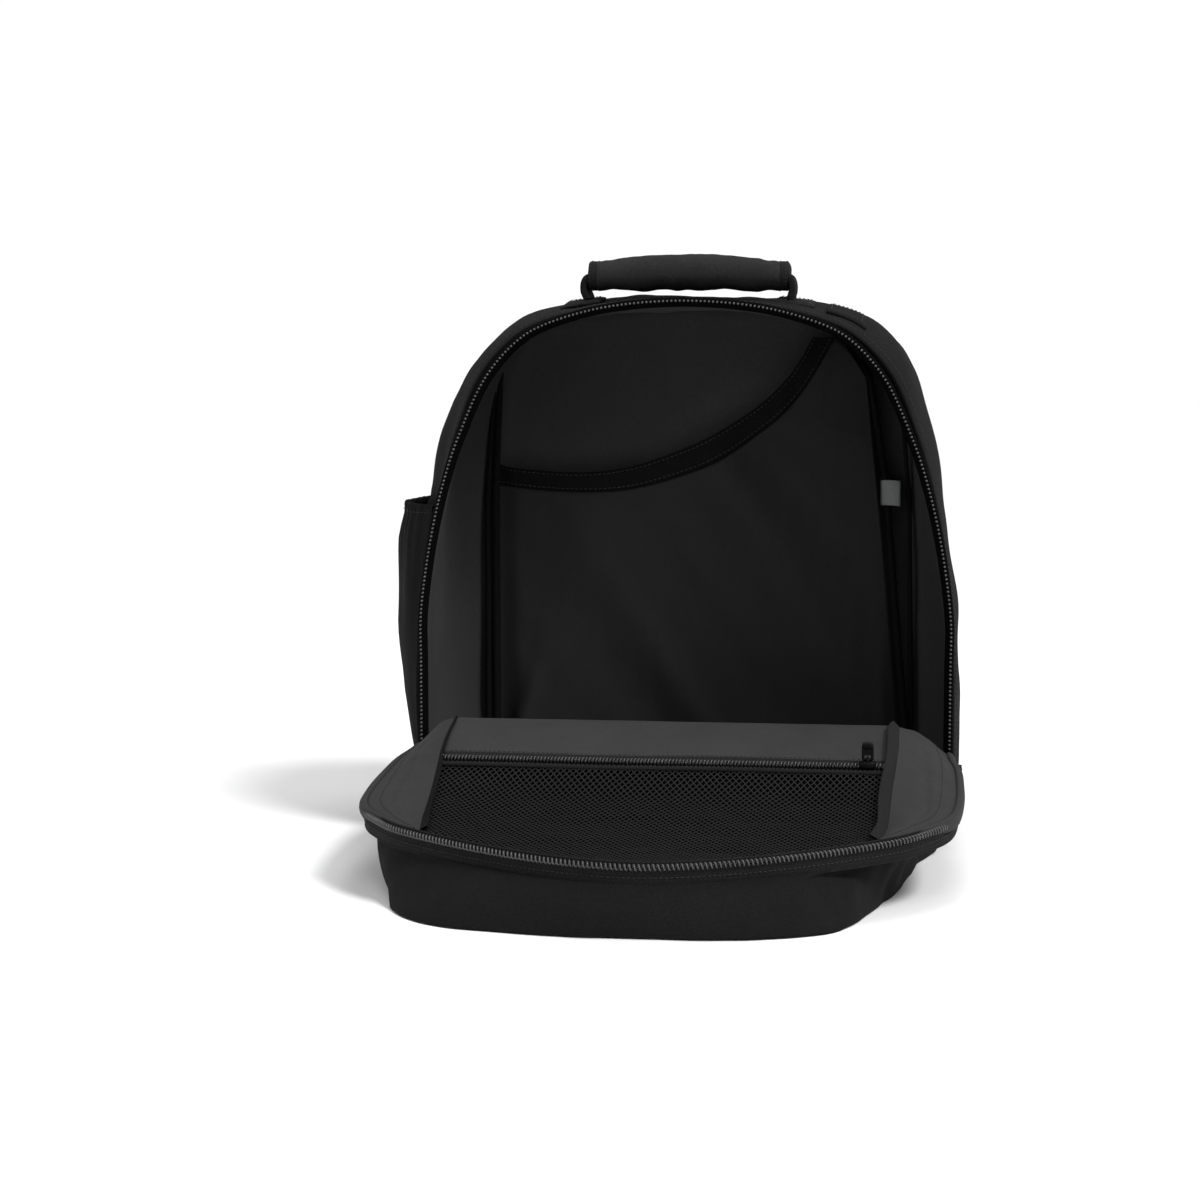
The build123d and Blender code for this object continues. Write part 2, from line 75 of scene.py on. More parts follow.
def smooth(t):
    t = np.clip(t, 0, 1)
    return t * t * (3 - 2 * t)


def tangents(p):
    t = np.gradient(p, axis=0)
    return t / np.maximum(np.linalg.norm(t, axis=1)[:, None], 1e-9)


def fabric_noise(x, y, z, seed, scale=1.0):
    """Smooth repeatable bumps, about -1 to 1, from crossed waves with bent fronts."""
    r = np.random.RandomState(seed)
    out = np.zeros_like(x, float)
    amp = 0
    for k in range(7):
        d = r.normal(size=3); d /= np.linalg.norm(d)
        e = r.normal(size=3); e /= np.linalg.norm(e)
        f = (0.7 + 0.35 * k) / (38.0 * scale)
        a = 1.0 / (1 + 0.45 * k)
        ph, ph2 = r.uniform(0, 6.28, 2)
        bend = 1.3 * np.sin((x * e[0] + y * e[1] + z * e[2]) * f * 2.1 + ph2)
        out += a * np.sin((x * d[0] + y * d[1] + z * d[2]) * f * 6.28 + ph + bend)
        amp += a
    return out / (0.55 * amp)


def mesh_obj(name, verts, faces, mat=None, shade=True, body=None, slot=None):
    me = bpy.data.meshes.new(name)
    me.from_pydata([tuple(v) for v in (np.asarray(verts, float) * 0.001)], [], [tuple(int(i) for i in f) for f in faces])
    me.validate()
    me.update()
    o = bpy.data.objects.new(name, me)
    bpy.context.scene.collection.objects.link(o)
    if shade:
        me.polygons.foreach_set("use_smooth", [True] * len(me.polygons))
    if mat:
        me.materials.append(mat)
    if body:
        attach(o, body)
    return o


def grid_faces(n, m, close_u=False, close_v=False, flip=False):
    f = []
    for i in range(n if close_u else n - 1):
        for j in range(m if close_v else m - 1):
            a, b = i * m + j, i * m + (j + 1) % m
            c, d = ((i + 1) % n) * m + (j + 1) % m, ((i + 1) % n) * m + j
            f.append((a, d, c, b) if flip else (a, b, c, d))
    return f


def grid_obj(name, P, mat, close_u=False, close_v=False, flip=False, **kw):
    P = np.asarray(P, float)
    n, m = P.shape[:2]
    return mesh_obj(name, P.reshape(-1, 3), grid_faces(n, m, close_u, close_v, flip), mat, **kw)


def solid(o, t, offset=-1.0, sub=0):
    md = o.modifiers.new("thick", "SOLIDIFY")
    md.thickness = t * 0.001
    md.offset = offset
    md.use_even_offset = False
    if sub:
        s = o.modifiers.new("sub", "SUBSURF")
        s.levels = s.render_levels = sub
    return o


def bake(o):
    """Apply the modifiers, so that the mesh is final."""
    dg = bpy.context.evaluated_depsgraph_get()
    dg.update()
    me = bpy.data.meshes.new_from_object(o.evaluated_get(dg))
    o.modifiers.clear()
    old = o.data
    o.data = me
    bpy.data.meshes.remove(old)
    return o


def tube(name, path, r, mat, seg=8, flat=1.0, up=(0, 0, 1), caps=True, closed=False, **kw):
    """Round or flattened cord along a path."""
    p = np.array(path, float)
    n = len(p)
    t = tangents(p)
    if closed:
        t = np.roll(p, -1, 0) - np.roll(p, 1, 0)
        t /= np.linalg.norm(t, axis=1)[:, None]
    r = np.broadcast_to(np.asarray(r, float), (n,))
    u = np.array(up, float)
    s = np.cross(t, u)
    bad = np.linalg.norm(s, axis=1) < 1e-3
    s[bad] = np.cross(t[bad], (1, 0.01, 0))
    s /= np.linalg.norm(s, axis=1)[:, None]
    b = np.cross(s, t)
    a = np.linspace(0, 2 * math.pi, seg, endpoint=False)
    P = p[:, None] + r[:, None, None] * (np.cos(a)[None, :, None] * s[:, None] + flat * np.sin(a)[None, :, None] * b[:, None])
    f = grid_faces(n, seg, close_u=closed, close_v=True)
    if caps and not closed:
        f += [tuple(range(seg))[::-1], tuple((n - 1) * seg + k for k in range(seg))]
    return mesh_obj(name, P.reshape(-1, 3), f, mat, **kw)


def coil(name, path, nrm, bvec, pitch, rn, rb, wire, mat, seg=5, steps=12, **kw):
    """Zip coil: a flattened helix along a path. nrm and bvec are unit directions per point."""
    p = np.array(path, float)
    s = np.r_[0, np.cumsum(np.linalg.norm(np.diff(p, axis=0), axis=1))]
    turns = int(s[-1] / pitch)
    k = turns * steps
    t = np.linspace(0, turns * pitch, k)
    q = np.stack([np.interp(t, s, p[:, c]) for c in range(3)], 1)
    nn = np.stack([np.interp(t, s, np.broadcast_to(nrm, p.shape)[:, c]) for c in range(3)], 1)
    bb = np.stack([np.interp(t, s, np.broadcast_to(bvec, p.shape)[:, c]) for c in range(3)], 1)
    th = t / pitch * 2 * math.pi
    sq = 1.0 + 0.12 * np.abs(np.sin(2 * th))
    q = q + nn * (rn * np.sin(th) * sq)[:, None] + bb * (rb * np.cos(th) * sq)[:, None]
    return tube(name, q, wire, mat, seg=seg, up=(0.3, 0.2, 0.9), **kw)


def beads(name, path, pitch, r, mat, **kw):
    """Small rounded tooth heads along a path."""
    p = np.array(path, float)
    s = np.r_[0, np.cumsum(np.linalg.norm(np.diff(p, axis=0), axis=1))]
    k = int(s[-1] / pitch)
    V, F = [], []
    for i in range(k):
        c = np.array([np.interp((i + 0.5) * s[-1] / k, s, p[:, a]) for a in range(3)])
        base = len(V)
        for lat in (-60, -25, 25, 60):
            for lon in range(0, 360, 45):
                la, lo = math.radians(lat), math.radians(lon)
                V.append(c + r * np.array([math.cos(la) * math.cos(lo), math.sin(la), math.cos(la) * math.sin(lo)]))
        V.append(c - [0, r, 0]); V.append(c + [0, r, 0])
        for b_ in range(3):
            for q in range(8):
                F.append((base + b_ * 8 + q, base + b_ * 8 + (q + 1) % 8, base + (b_ + 1) * 8 + (q + 1) % 8, base + (b_ + 1) * 8 + q))
        for q in range(8):
            F.append((base + 32, base + (q + 1) % 8, base + q))
            F.append((base + 33, base + 24 + q, base + 24 + (q + 1) % 8))
    return mesh_obj(name, np.array(V), F, mat, **kw)


def stitches(name, path, nrm, mat, pitch=3.2, length=2.1, r=0.32, **kw):
    """Row of single thread stitches lying on a surface."""
    p = np.array(path, float)
    s = np.r_[0, np.cumsum(np.linalg.norm(np.diff(p, axis=0), axis=1))]
    k = max(2, int(s[-1] / pitch))
    V, F = [], []
    nr = np.broadcast_to(np.array(nrm, float), p.shape)
    for i in range(k):
        c = (i + 0.5) * s[-1] / k
        t = c + np.array([-0.5, -0.25, 0.25, 0.5]) * length
        q = np.stack([np.interp(t, s, p[:, a]) for a in range(3)], 1)
        n = np.array([np.interp(c, s, nr[:, a]) for a in range(3)]); n /= max(np.linalg.norm(n), 1e-9)
        d = q[-1] - q[0]; d /= max(np.linalg.norm(d), 1e-9)
        w = np.cross(d, n)
        base = len(V)
        for j, (rr, h) in enumerate(((0.35, 0.0), (1.0, 0.25), (1.0, 0.25), (0.35, 0.0))):
            for a in range(6):
                an = a * math.pi / 3
                V.append(q[j] + r * rr * (math.cos(an) * w + math.sin(an) * n) + n * (h * r))
        for j in range(3):
            for a in range(6):
                F.append((base + j * 6 + a, base + j * 6 + (a + 1) % 6, base + (j + 1) * 6 + (a + 1) % 6, base + (j + 1) * 6 + a))
        F.append(tuple(base + a for a in range(6))[::-1])
        F.append(tuple(base + 18 + a for a in range(6)))
    return mesh_obj(name, V, F, mat, **kw)


# ---------------------------------------------------------------- materials
def nodes_of(name):
    m = bpy.data.materials.new(name)
    m.use_nodes = True
    nt = m.node_tree
    b = nt.nodes["Principled BSDF"]
    return m, nt, b


def cloth(name, col, rough=0.85, sheen=0.25, thread=0.55, bump=0.35, spread=0.25, kind="plain", micro=0.0, vary=0.35, spec=0.25, tint=(1, 1, 1)):
    """Woven cloth: crossed threads in object space, colour flecks, larger shade changes, bump."""
    m, nt, b = nodes_of(name)
    L, A = nt.links.new, nt.nodes.new
    tc = A("ShaderNodeTexCoord")
    mp = A("ShaderNodeMapping")
    mp.inputs["Rotation"].default_value = (0.0, 0.0, 0.0) if kind != "twill" else (0.6, 0.5, 0.785)
    L(tc.outputs["Object"], mp.inputs["Vector"])
    waves = []
    for axis in ("X", "Y", "Z"):
        w = A("ShaderNodeTexWave")
        w.bands_direction = axis
        w.inputs["Scale"].default_value = 314.16 / thread
        w.inputs["Distortion"].default_value = 0.6
        w.inputs["Detail"].default_value = 1.0
        w.inputs["Detail Scale"].default_value = 1.5
        L(mp.outputs["Vector"], w.inputs["Vector"])
        waves.append(w)
    geo = A("ShaderNodeNewGeometry")
    ab = A("ShaderNodeVectorMath"); ab.operation = "ABSOLUTE"
    L(geo.outputs["Normal"], ab.inputs[0])
    sp = A("ShaderNodeSeparateXYZ"); L(ab.outputs[0], sp.inputs[0])
    total = None
    for k, w in enumerate(waves):
        inv = A("ShaderNodeMath"); inv.operation = "SUBTRACT"; inv.inputs[0].default_value = 1.0
        L(sp.outputs[k], inv.inputs[1])
        mu = A("ShaderNodeMath"); mu.operation = "MULTIPLY"
        L(w.outputs["Fac"], mu.inputs[0]); L(inv.outputs[0], mu.inputs[1])
        if total is None:
            total = mu
        else:
            ad = A("ShaderNodeMath"); ad.operation = "ADD"
            L(total.outputs[0], ad.inputs[0]); L(mu.outputs[0], ad.inputs[1])
            total = ad
    big = A("ShaderNodeTexNoise"); big.inputs["Scale"].default_value = 14.0; big.inputs["Detail"].default_value = 5.0
    big.inputs["Roughness"].default_value = 0.6
    L(tc.outputs["Object"], big.inputs["Vector"])
    fine = A("ShaderNodeTexNoise"); fine.inputs["Scale"].default_value = 900.0; fine.inputs["Detail"].default_value = 3.0
    L(tc.outputs["Object"], fine.inputs["Vector"])
    r1 = A("ShaderNodeMapRange"); r1.inputs["From Min"].default_value = 0.3; r1.inputs["From Max"].default_value = 0.7
    r1.inputs["To Min"].default_value = 1 - vary * 0.5; r1.inputs["To Max"].default_value = 1 + vary * 0.5
    L(big.outputs["Fac"], r1.inputs["Value"])
    r2 = A("ShaderNodeMapRange"); r2.inputs["From Min"].default_value = 0.3; r2.inputs["From Max"].default_value = 0.7
    r2.inputs["To Min"].default_value = 1 - spread; r2.inputs["To Max"].default_value = 1 + spread
    L(fine.outputs["Fac"], r2.inputs["Value"])
    r3 = A("ShaderNodeMapRange"); r3.inputs["From Max"].default_value = 2.0
    r3.inputs["To Min"].default_value = 0.72; r3.inputs["To Max"].default_value = 1.25
    L(total.outputs[0], r3.inputs["Value"])
    m1 = A("ShaderNodeMath"); m1.operation = "MULTIPLY"; L(r1.outputs[0], m1.inputs[0]); L(r2.outputs[0], m1.inputs[1])
    m2 = A("ShaderNodeMath"); m2.operation = "MULTIPLY"; L(m1.outputs[0], m2.inputs[0]); L(r3.outputs[0], m2.inputs[1])
    vm = A("ShaderNodeVectorMath"); vm.operation = "SCALE"
    vm.inputs[0].default_value = (col * tint[0], col * tint[1], col * tint[2])
    L(m2.outputs[0], vm.inputs["Scale"])
    L(vm.outputs[0], b.inputs["Base Color"])
    rr = A("ShaderNodeMapRange"); rr.inputs["To Min"].default_value = rough - 0.08; rr.inputs["To Max"].default_value = min(1.0, rough + 0.08)
    L(big.outputs["Fac"], rr.inputs["Value"]); L(rr.outputs[0], b.inputs["Roughness"])
    bp = A("ShaderNodeBump"); bp.inputs["Strength"].default_value = bump; bp.inputs["Distance"].default_value = 0.0004
    L(total.outputs[0], bp.inputs["Height"])
    cr = A("ShaderNodeTexNoise"); cr.inputs["Scale"].default_value = 55.0; cr.inputs["Detail"].default_value = 4.0
    L(tc.outputs["Object"], cr.inputs["Vector"])
    bp2 = A("ShaderNodeBump"); bp2.inputs["Strength"].default_value = 0.25; bp2.inputs["Distance"].default_value = 0.0012
    L(cr.outputs["Fac"], bp2.inputs["Height"]); L(bp.outputs[0], bp2.inputs["Normal"])
    L(bp2.outputs[0], b.inputs["Normal"])
    b.inputs["Sheen Weight"].default_value = sheen
    b.inputs["Sheen Roughness"].default_value = 0.5
    b.inputs["Sheen Tint"].default_value = (0.5, 0.5, 0.5, 1)
    b.inputs["Specular IOR Level"].default_value = spec
    return m


def plastic(name, col, rough=0.4, grain=600.0, bump=0.15, metal=0.0, wear=0.0, spec=0.5):
    m, nt, b = nodes_of(name)
    L, A = nt.links.new, nt.nodes.new
    tc = A("ShaderNodeTexCoord")
    n1 = A("ShaderNodeTexNoise"); n1.inputs["Scale"].default_value = grain; n1.inputs["Detail"].default_value = 3
    L(tc.outputs["Object"], n1.inputs["Vector"])
    n2 = A("ShaderNodeTexNoise"); n2.inputs["Scale"].default_value = 60; n2.inputs["Detail"].default_value = 5
    L(tc.outputs["Object"], n2.inputs["Vector"])
    ramp = A("ShaderNodeValToRGB")
    ramp.color_ramp.elements[0].position = 0.3; ramp.color_ramp.elements[1].position = 0.75
    ramp.color_ramp.elements[0].color = (col * 0.75,) * 3 + (1,)
    ramp.color_ramp.elements[1].color = (col * 1.3,) * 3 + (1,)
    L(n2.outputs["Fac"], ramp.inputs["Fac"])
    if wear:
        g = A("ShaderNodeNewGeometry")
        mr = A("ShaderNodeMapRange"); mr.inputs["From Min"].default_value = 0.52; mr.inputs["From Max"].default_value = 0.6
        L(g.outputs["Pointiness"], mr.inputs["Value"])
        mx = A("ShaderNodeMix"); mx.data_type = "RGBA"
        sc = A("ShaderNodeMath"); sc.operation = "MULTIPLY"; sc.inputs[1].default_value = wear
        L(mr.outputs[0], sc.inputs[0]); L(sc.outputs[0], mx.inputs["Factor"])
        L(ramp.outputs["Color"], mx.inputs[6]); mx.inputs[7].default_value = (0.16, 0.16, 0.165, 1)
        L(mx.outputs[2], b.inputs["Base Color"])
    else:
        L(ramp.outputs["Color"], b.inputs["Base Color"])
    rr = A("ShaderNodeMapRange"); rr.inputs["To Min"].default_value = rough - 0.1; rr.inputs["To Max"].default_value = rough + 0.12
    L(n2.outputs["Fac"], rr.inputs["Value"]); L(rr.outputs[0], b.inputs["Roughness"])
    bp = A("ShaderNodeBump"); bp.inputs["Strength"].default_value = bump; bp.inputs["Distance"].default_value = 0.0002
    L(n1.outputs["Fac"], bp.inputs["Height"]); L(bp.outputs[0], b.inputs["Normal"])
    b.inputs["Metallic"].default_value = metal
    b.inputs["Specular IOR Level"].default_value = spec
    return m


M_OUT = cloth("outer_weave", 0.0078, rough=0.9, sheen=0.012, thread=0.55, bump=0.45, spec=0.11)
M_GBIND = cloth("grip_binding", 0.0120, rough=0.9, sheen=0.015, thread=0.9, bump=0.5, spec=0.12)
# grip: the outer weave at nearly three times its albedo, painted light from above
M_GRIP_LIT = cloth("grip_weave_painted_light", 0.0215, rough=0.9, sheen=0.02, thread=0.55, bump=0.45, spec=0.12)
M_LIN = cloth("lining_weave", 0.0275, rough=0.82, sheen=0.02, thread=0.4, bump=0.22, spread=0.12, vary=0.18, spec=0.2)
M_LIND = cloth("sleeve_weave", 0.0125, rough=0.8, sheen=0.02, thread=0.4, bump=0.22, spread=0.12, vary=0.18, spec=0.16)
M_BIND = cloth("binding_grosgrain", 0.0032, rough=0.85, sheen=0.008, thread=0.9, bump=0.5, spread=0.2, spec=0.1)
M_WEB = cloth("webbing_weave", 0.0075, rough=0.8, sheen=0.015, thread=1.3, bump=0.8, spec=0.14)
M_TAPE = cloth("zip_tape_weave", 0.0088, rough=0.85, sheen=0.015, thread=0.8, bump=0.6, kind="twill", spec=0.14)
# near-black tape: painted shade on the body's zip tapes, the lower pocket zip tape and the lid lining under the net;
# also the dark strip by the left back seam
M_DARK_TAPE_AND_SHADE = cloth("dark_tape_and_painted_shade", 0.0018, rough=0.92, sheen=0.0, thread=0.8, bump=0.5, kind="twill", spec=0.03)
M_MESHNET = cloth("pocket_net", 0.0075, rough=0.7, sheen=0.02, thread=0.5, bump=0.3, spec=0.2)
M_SPACER = cloth("spacer_mesh", 0.0140, rough=0.9, sheen=0.03, thread=2.4, bump=1.2, spread=0.3, spec=0.15)
# lighter binding for the right seam flap only: painted light
M_FLAP_LIT = cloth("flap_binding_painted_light", 0.0120, rough=0.85, sheen=0.01, thread=0.9, bump=0.4, spread=0.15, spec=0.12)
M_THREAD = cloth("thread", 0.0095, rough=0.6, sheen=0.1, thread=0.3, bump=0.2, spec=0.4)
M_LABEL = cloth("label_satin", 0.155, rough=0.6, sheen=0.05, thread=0.35, bump=0.15, spread=0.08, vary=0.12, tint=(0.95, 1.02, 0.98))
# near-black body coil: painted shade; the lid half of the same zip uses the grey coil_nylon
M_COIL_SHADE = plastic("coil_painted_shade", 0.002, rough=0.7, grain=1500, bump=0.1, spec=0.04)
# lighter tooth heads: painted highlight, a bright dot on each coil turn
M_BEAD_HIGHLIGHT = plastic("tooth_head_painted_highlight", 0.045, rough=0.35, grain=1500, bump=0.1, spec=0.6)
M_BCOIL = plastic("coil_nylon_dark", 0.026, rough=0.32, grain=1500, bump=0.1, spec=0.7)
M_COIL = plastic("coil_nylon", 0.046, rough=0.35, grain=1500, bump=0.1, spec=0.6)
M_SLIDER = plastic("slider_enamel", 0.002, rough=0.5, grain=900, bump=0.12, wear=0.08, spec=0.1)
M_BUCKLE = plastic("buckle_acetal", 0.018, rough=0.45, grain=2500, bump=0.3)
M_FOAM = cloth("foam", 0.20, rough=0.95, sheen=0.0, thread=1.0, bump=0.4)
M_BOARD = plastic("board", 0.05, rough=0.6, grain=400, bump=0.2)

# ---------------------------------------------------------------- body half outline, as in the CAD
STATIONS = [0.0, 50.0, 100.0, 136.0]
OUT = [
    [(138, 0), (150, 3.5), (157.5, 13), (161, 30), (161, 60), (161, 85), (161, 110), (161, 135), (157.5, 165), (152, 195), (145, 222), (137, 245), (122, 278), (103, 301), (82, 313.5), (45, 323.5), (0, 327)],
    [(140, 0), (153, 4), (161, 15), (165.5, 38), (167, 65), (167, 90), (166, 112), (164.5, 140), (161.5, 166), (157.5, 195), (152, 230), (145.5, 257), (136, 285), (117, 308), (92, 320.5), (48, 327.5), (0, 329)],
    [(134, 0), (146, 4), (152, 15), (155, 38), (156, 65), (156, 90), (155.5, 112), (155, 140), (153, 166), (150, 195), (147, 230), (142, 257), (133, 286), (116, 309), (91, 321), (48, 327.5), (0, 329)],
    [(118, 0), (128, 4), (132.5, 15), (134, 38), (134, 65), (134, 90), (134, 112), (134, 140), (134, 166), (134, 195), (133.5, 230), (132, 257), (127, 288), (111, 309), (88, 318), (46, 323), (0, 325)]]


def full(h):
    return [tuple(p) for p in h] + [(-x, z) for x, z in reversed(h[:-1])]


def outline(y, m=240, inset=0.0, z0=None):
    """Open run round the body half at depth y, right foot, over the top, to left foot: (m, 2). z0 cuts off what is lower."""
    w = [np.prod([(y - b) / (a - b) for b in STATIONS if b != a]) for a in STATIONS]
    p = sum(wi * np.array(full(s), float) for wi, s in zip(w, OUT))
    q = catmull(p, 1600)
    if inset:
        t = tangents(q)
        q = q - inset * np.c_[t[:, 1], -t[:, 0]]
    if z0 is not None:
        q = q[q[:, 1] >= z0]
        q[0, 1] = q[-1, 1] = z0
    return even(q, m)


def ring(y, inset=0.0, m=240, mb=50):
    """Closed loop at depth y: the open run, then the straight base back to its start."""
    a = outline(y, m, inset)
    base = np.stack([np.linspace(a[-1, 0], a[0, 0], mb + 2)[1:-1], np.full(mb, (a[0, 1] + a[-1, 1]) / 2)], 1)
    b = np.vstack([a, base])
    return np.c_[b[:, 0], np.full(len(b), y), b[:, 1]]


def up(p2, y):
    p2 = np.asarray(p2, float)
    return np.c_[p2[:, 0], np.broadcast_to(y, len(p2)), p2[:, 1]]

# ================================================================ BODY HALF
def wrinkle_ring(P, amp, seed, scale=1.0, keep=None):
    """Move a ring grid in and out, towards the bag's middle line, by soft waves."""
    P = P.copy()
    c = P.mean(axis=1, keepdims=True)
    d = P - c
    d[..., 1] = 0
    d /= np.maximum(np.linalg.norm(d, axis=2, keepdims=True), 1e-6)
    w = fabric_noise(P[..., 0], P[..., 1], P[..., 2], seed, scale)
    a = amp if keep is None else amp * keep
    return P + d * (w * a)[..., None]


def foot_in(x, y, z):
    """How far the left side is drawn in towards its foot; nothing at the front edge and at the back seam."""
    return 5.2 * smooth((-60 - x) / 60) * smooth((y - 10) / 22) * (1 - smooth((y - 110) / 22)) * (1 - smooth((z - 8) / 80))


# outer gusset cloth
ys = [9.2, 10.2, 12, 16, 22, 30, 38, 46, 54, 62, 70, 78, 86, 94, 102, 110, 118, 125, 130, 134, 136.4]
ins = [1.9, 0.5, 0.0, 0.1, 0, 0, 0, 0, 0, 0, 0, 0, 0, 0, 0, 0, 0, 0, 0.0, 0.5, 1.6]
P = np.array([ring(y, i) for y, i in zip(ys, ins)])
k = np.array([0, 0, 0.1, .35, .6, .8, 1, 1, 1, 1, 1, 1, 1, 1, 1, 1, .9, .7, .4, .1, 0])[:, None] * smooth((P[..., 2] - 2) / 30)
P = wrinkle_ring(P, 1.3, 3, 1.7, k)
P[..., 2] = np.maximum(P[..., 2], 0.3)
P[..., 0] += foot_in(P[..., 0], P[..., 1], P[..., 2])
full_ = np.interp(P[..., 2], [184, 196, 208, 245, 265, 278, 290, 302], [0, 3.2, 7.2, 7.4, 5.8, 3.2, 0.8, 0]) * smooth((P[..., 1] - 22) / 26) * (1 - smooth((P[..., 1] - 106) / 22))
fill_ = np.interp(P[..., 2], [165, 184, 194, 200, 207, 214], [0, 5.0, 8.0, 6.5, 1.2, 0]) * smooth((P[..., 1] - 34) / 26) * (1 - smooth((P[..., 1] - 88) / 28))
P[..., 0] -= np.where(P[..., 0] < -60, full_ + fill_, 0)
gusset = grid_obj("gusset_cloth", P, M_OUT, close_v=True, flip=True, body="pack_body", slot="outer_fabric")
solid(gusset, 2.2, -1)
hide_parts("body_gusset_shell")

# seam lines on the gusset: a stitched join near the front and the back
for nm, y, dz in (("gusset_stitch_front", 15.0, 0.35), ("gusset_stitch_back", 130.5, 0.3)):
    a = outline(y, 300, -dz, z0=6)
    t = tangents(a)
    st = stitches(nm, up(a, y), np.c_[t[:, 1], np.zeros(len(t)), -t[:, 0]], M_THREAD, pitch=3.4, length=2.3, r=0.28, body="pack_body", slot="binding")

# main zip on the body: tape, coil; its tapes take the near-black material as painted shade, while the lid half of the
# zip has the lighter zip_tape_weave
Z0 = 33.0
rows = [(1.0, 0.6), (1.3, -1.0), (2.4, -1.6), (5.0, -0.9), (8.0, -0.1), (11.5, 0.8)]
tape = grid_obj("body_tape", [up(outline(0, 260, i, z0=Z0), y) for y, i in rows], M_DARK_TAPE_AND_SHADE, flip=True, body="pack_body", slot="zip_tape")
solid(tape, 0.7, 0)
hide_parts("body_zip_tape")
itape = grid_obj("body_tape_inner", [up(outline(0, 260, i, z0=Z0), y) for y, i in ((1.5, 0.8), (1.8, 1.3), (2.4, 2.0), (3.4, 2.7), (4.6, 3.6))], M_DARK_TAPE_AND_SHADE, body="pack_body", slot="zip_tape")
solid(itape, 0.5, 0)
a = outline(0, 900, 0.0, z0=Z0)
t = tangents(a)
nr = np.c_[t[:, 1], np.zeros(len(t)), -t[:, 0]]
# body coil in the near-black material: painted shade along the mouth of the bag
bcoil = coil("body_coil", up(a, 2.3), nr, (0, 1, 0), 2.5, 1.35, 1.4, 0.5, M_COIL_SHADE, seg=6, steps=10, body="pack_body", slot="zip_coil")
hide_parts("body_zip_coil")
# tooth heads in a lighter plastic than the coil: painted highlights, one dot per turn
heads = beads("body_coil_heads", up(outline(0, 900, 0.15, z0=Z0), 0.55), 2.5, 0.82, M_BEAD_HIGHLIGHT, body="pack_body", slot="zip_coil")
st = stitches("body_tape_stitch", up(outline(0, 300, -0.5, z0=Z0), 6.6), nr[::3], M_THREAD, pitch=2.6, length=1.7, r=0.22, body="pack_body", slot="binding")

# piping at the gusset's front edge, and the bound seam at the back
pip = tube("gusset_front_piping", up(outline(9.5, 280, 0.9, z0=30), 9.6), 1.25, M_BIND, seg=8, up=(0, 1, 0), body="pack_body", slot="binding")
bk = ring(136.0, -0.2)
bk[:, 1] = 137.6
bk[:, 2] = np.maximum(bk[:, 2], 2.2)
pip2 = tube("back_seam_piping", bk, 2.1, M_BIND, seg=10, closed=True, up=(0, 1, 0), body="pack_body", slot="binding")
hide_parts("back_seam_binding")

# inner lining: gusset sides and the back, one dished sheet
ys = [3.2, 5, 9, 14, 22, 32, 42, 52, 62, 72, 82, 92, 102, 110, 117, 122, 125.4, 127.2]
ins = [1.6, 3.4, 5.6, 6.2, 6.2, 6.0, 6, 6, 6, 6, 6, 6, 6, 6.2, 6.8, 7.8, 9.6, 13]
P = [ring(y, i) for y, i in zip(ys, ins)]
P = np.array(P)
P[..., 2] = np.maximum(P[..., 2], 6.4)
k = smooth((P[..., 1] - 5) / 20)
P = wrinkle_ring(P, 1.5, 11, 1.9, k)
P[..., 0] += foot_in(P[..., 0], P[..., 1], P[..., 2])
last = P[-1]
c = np.array([0, 127.6, 150.0])
more = []
for f in (0.93, 0.85, 0.7, 0.52, 0.34, 0.17, 0.02):
    q = c + (last - c) * np.array([f, 1, f])
    q[:, 1] = 127.8 + 0.8 * fabric_noise(q[:, 0], q[:, 2], q[:, 2] * 0, 5, 1.5)
    more.append(q)
P = np.concatenate([P, np.array(more)])
lining = grid_obj("inner_lining", P, M_LIN, close_v=True, body="pack_body", slot="lining_fabric")
solid(lining, 0.6, -1)
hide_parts("body_lining", "back_lining_panel", "back_foam", "base_board")

# lower tub: low front wall and sides, outer cloth and lining
def tub_run(x, y, r, m, back):
    """Plan run: right side, rounded front corner, front, left side."""
    pts = [(x, back), (x, back - (back - y - r) * 0.5), (x, y + r)]
    pts += [(x - r + r * math.cos(a), y + r - r * math.sin(a)) for a in np.linspace(0, math.pi / 2, 9)[1:]]
    run = np.array(pts)
    run = np.vstack([run, run[::-1] * [-1, 1]])
    return even(run, m)


def tub(name, x, y, r, zs, insets, mat, seed, back, amp=0.9, flip=False, top=None):
    rows = []
    for z, i in zip(zs, insets):
        q = tub_run(x - i, y + i, max(2, r - i), 150, back)
        zz = np.full(len(q), float(z))
        rows.append(np.c_[q, zz])
    P = np.array(rows)
    w = fabric_noise(P[..., 0], P[..., 1], P[..., 2], seed, 1.4) * amp
    P[..., 1] += w * smooth((20 - P[..., 1]) / 30) * smooth(P[..., 2] / 12)
    return grid_obj(name, P, mat, flip=flip, body="pack_body")


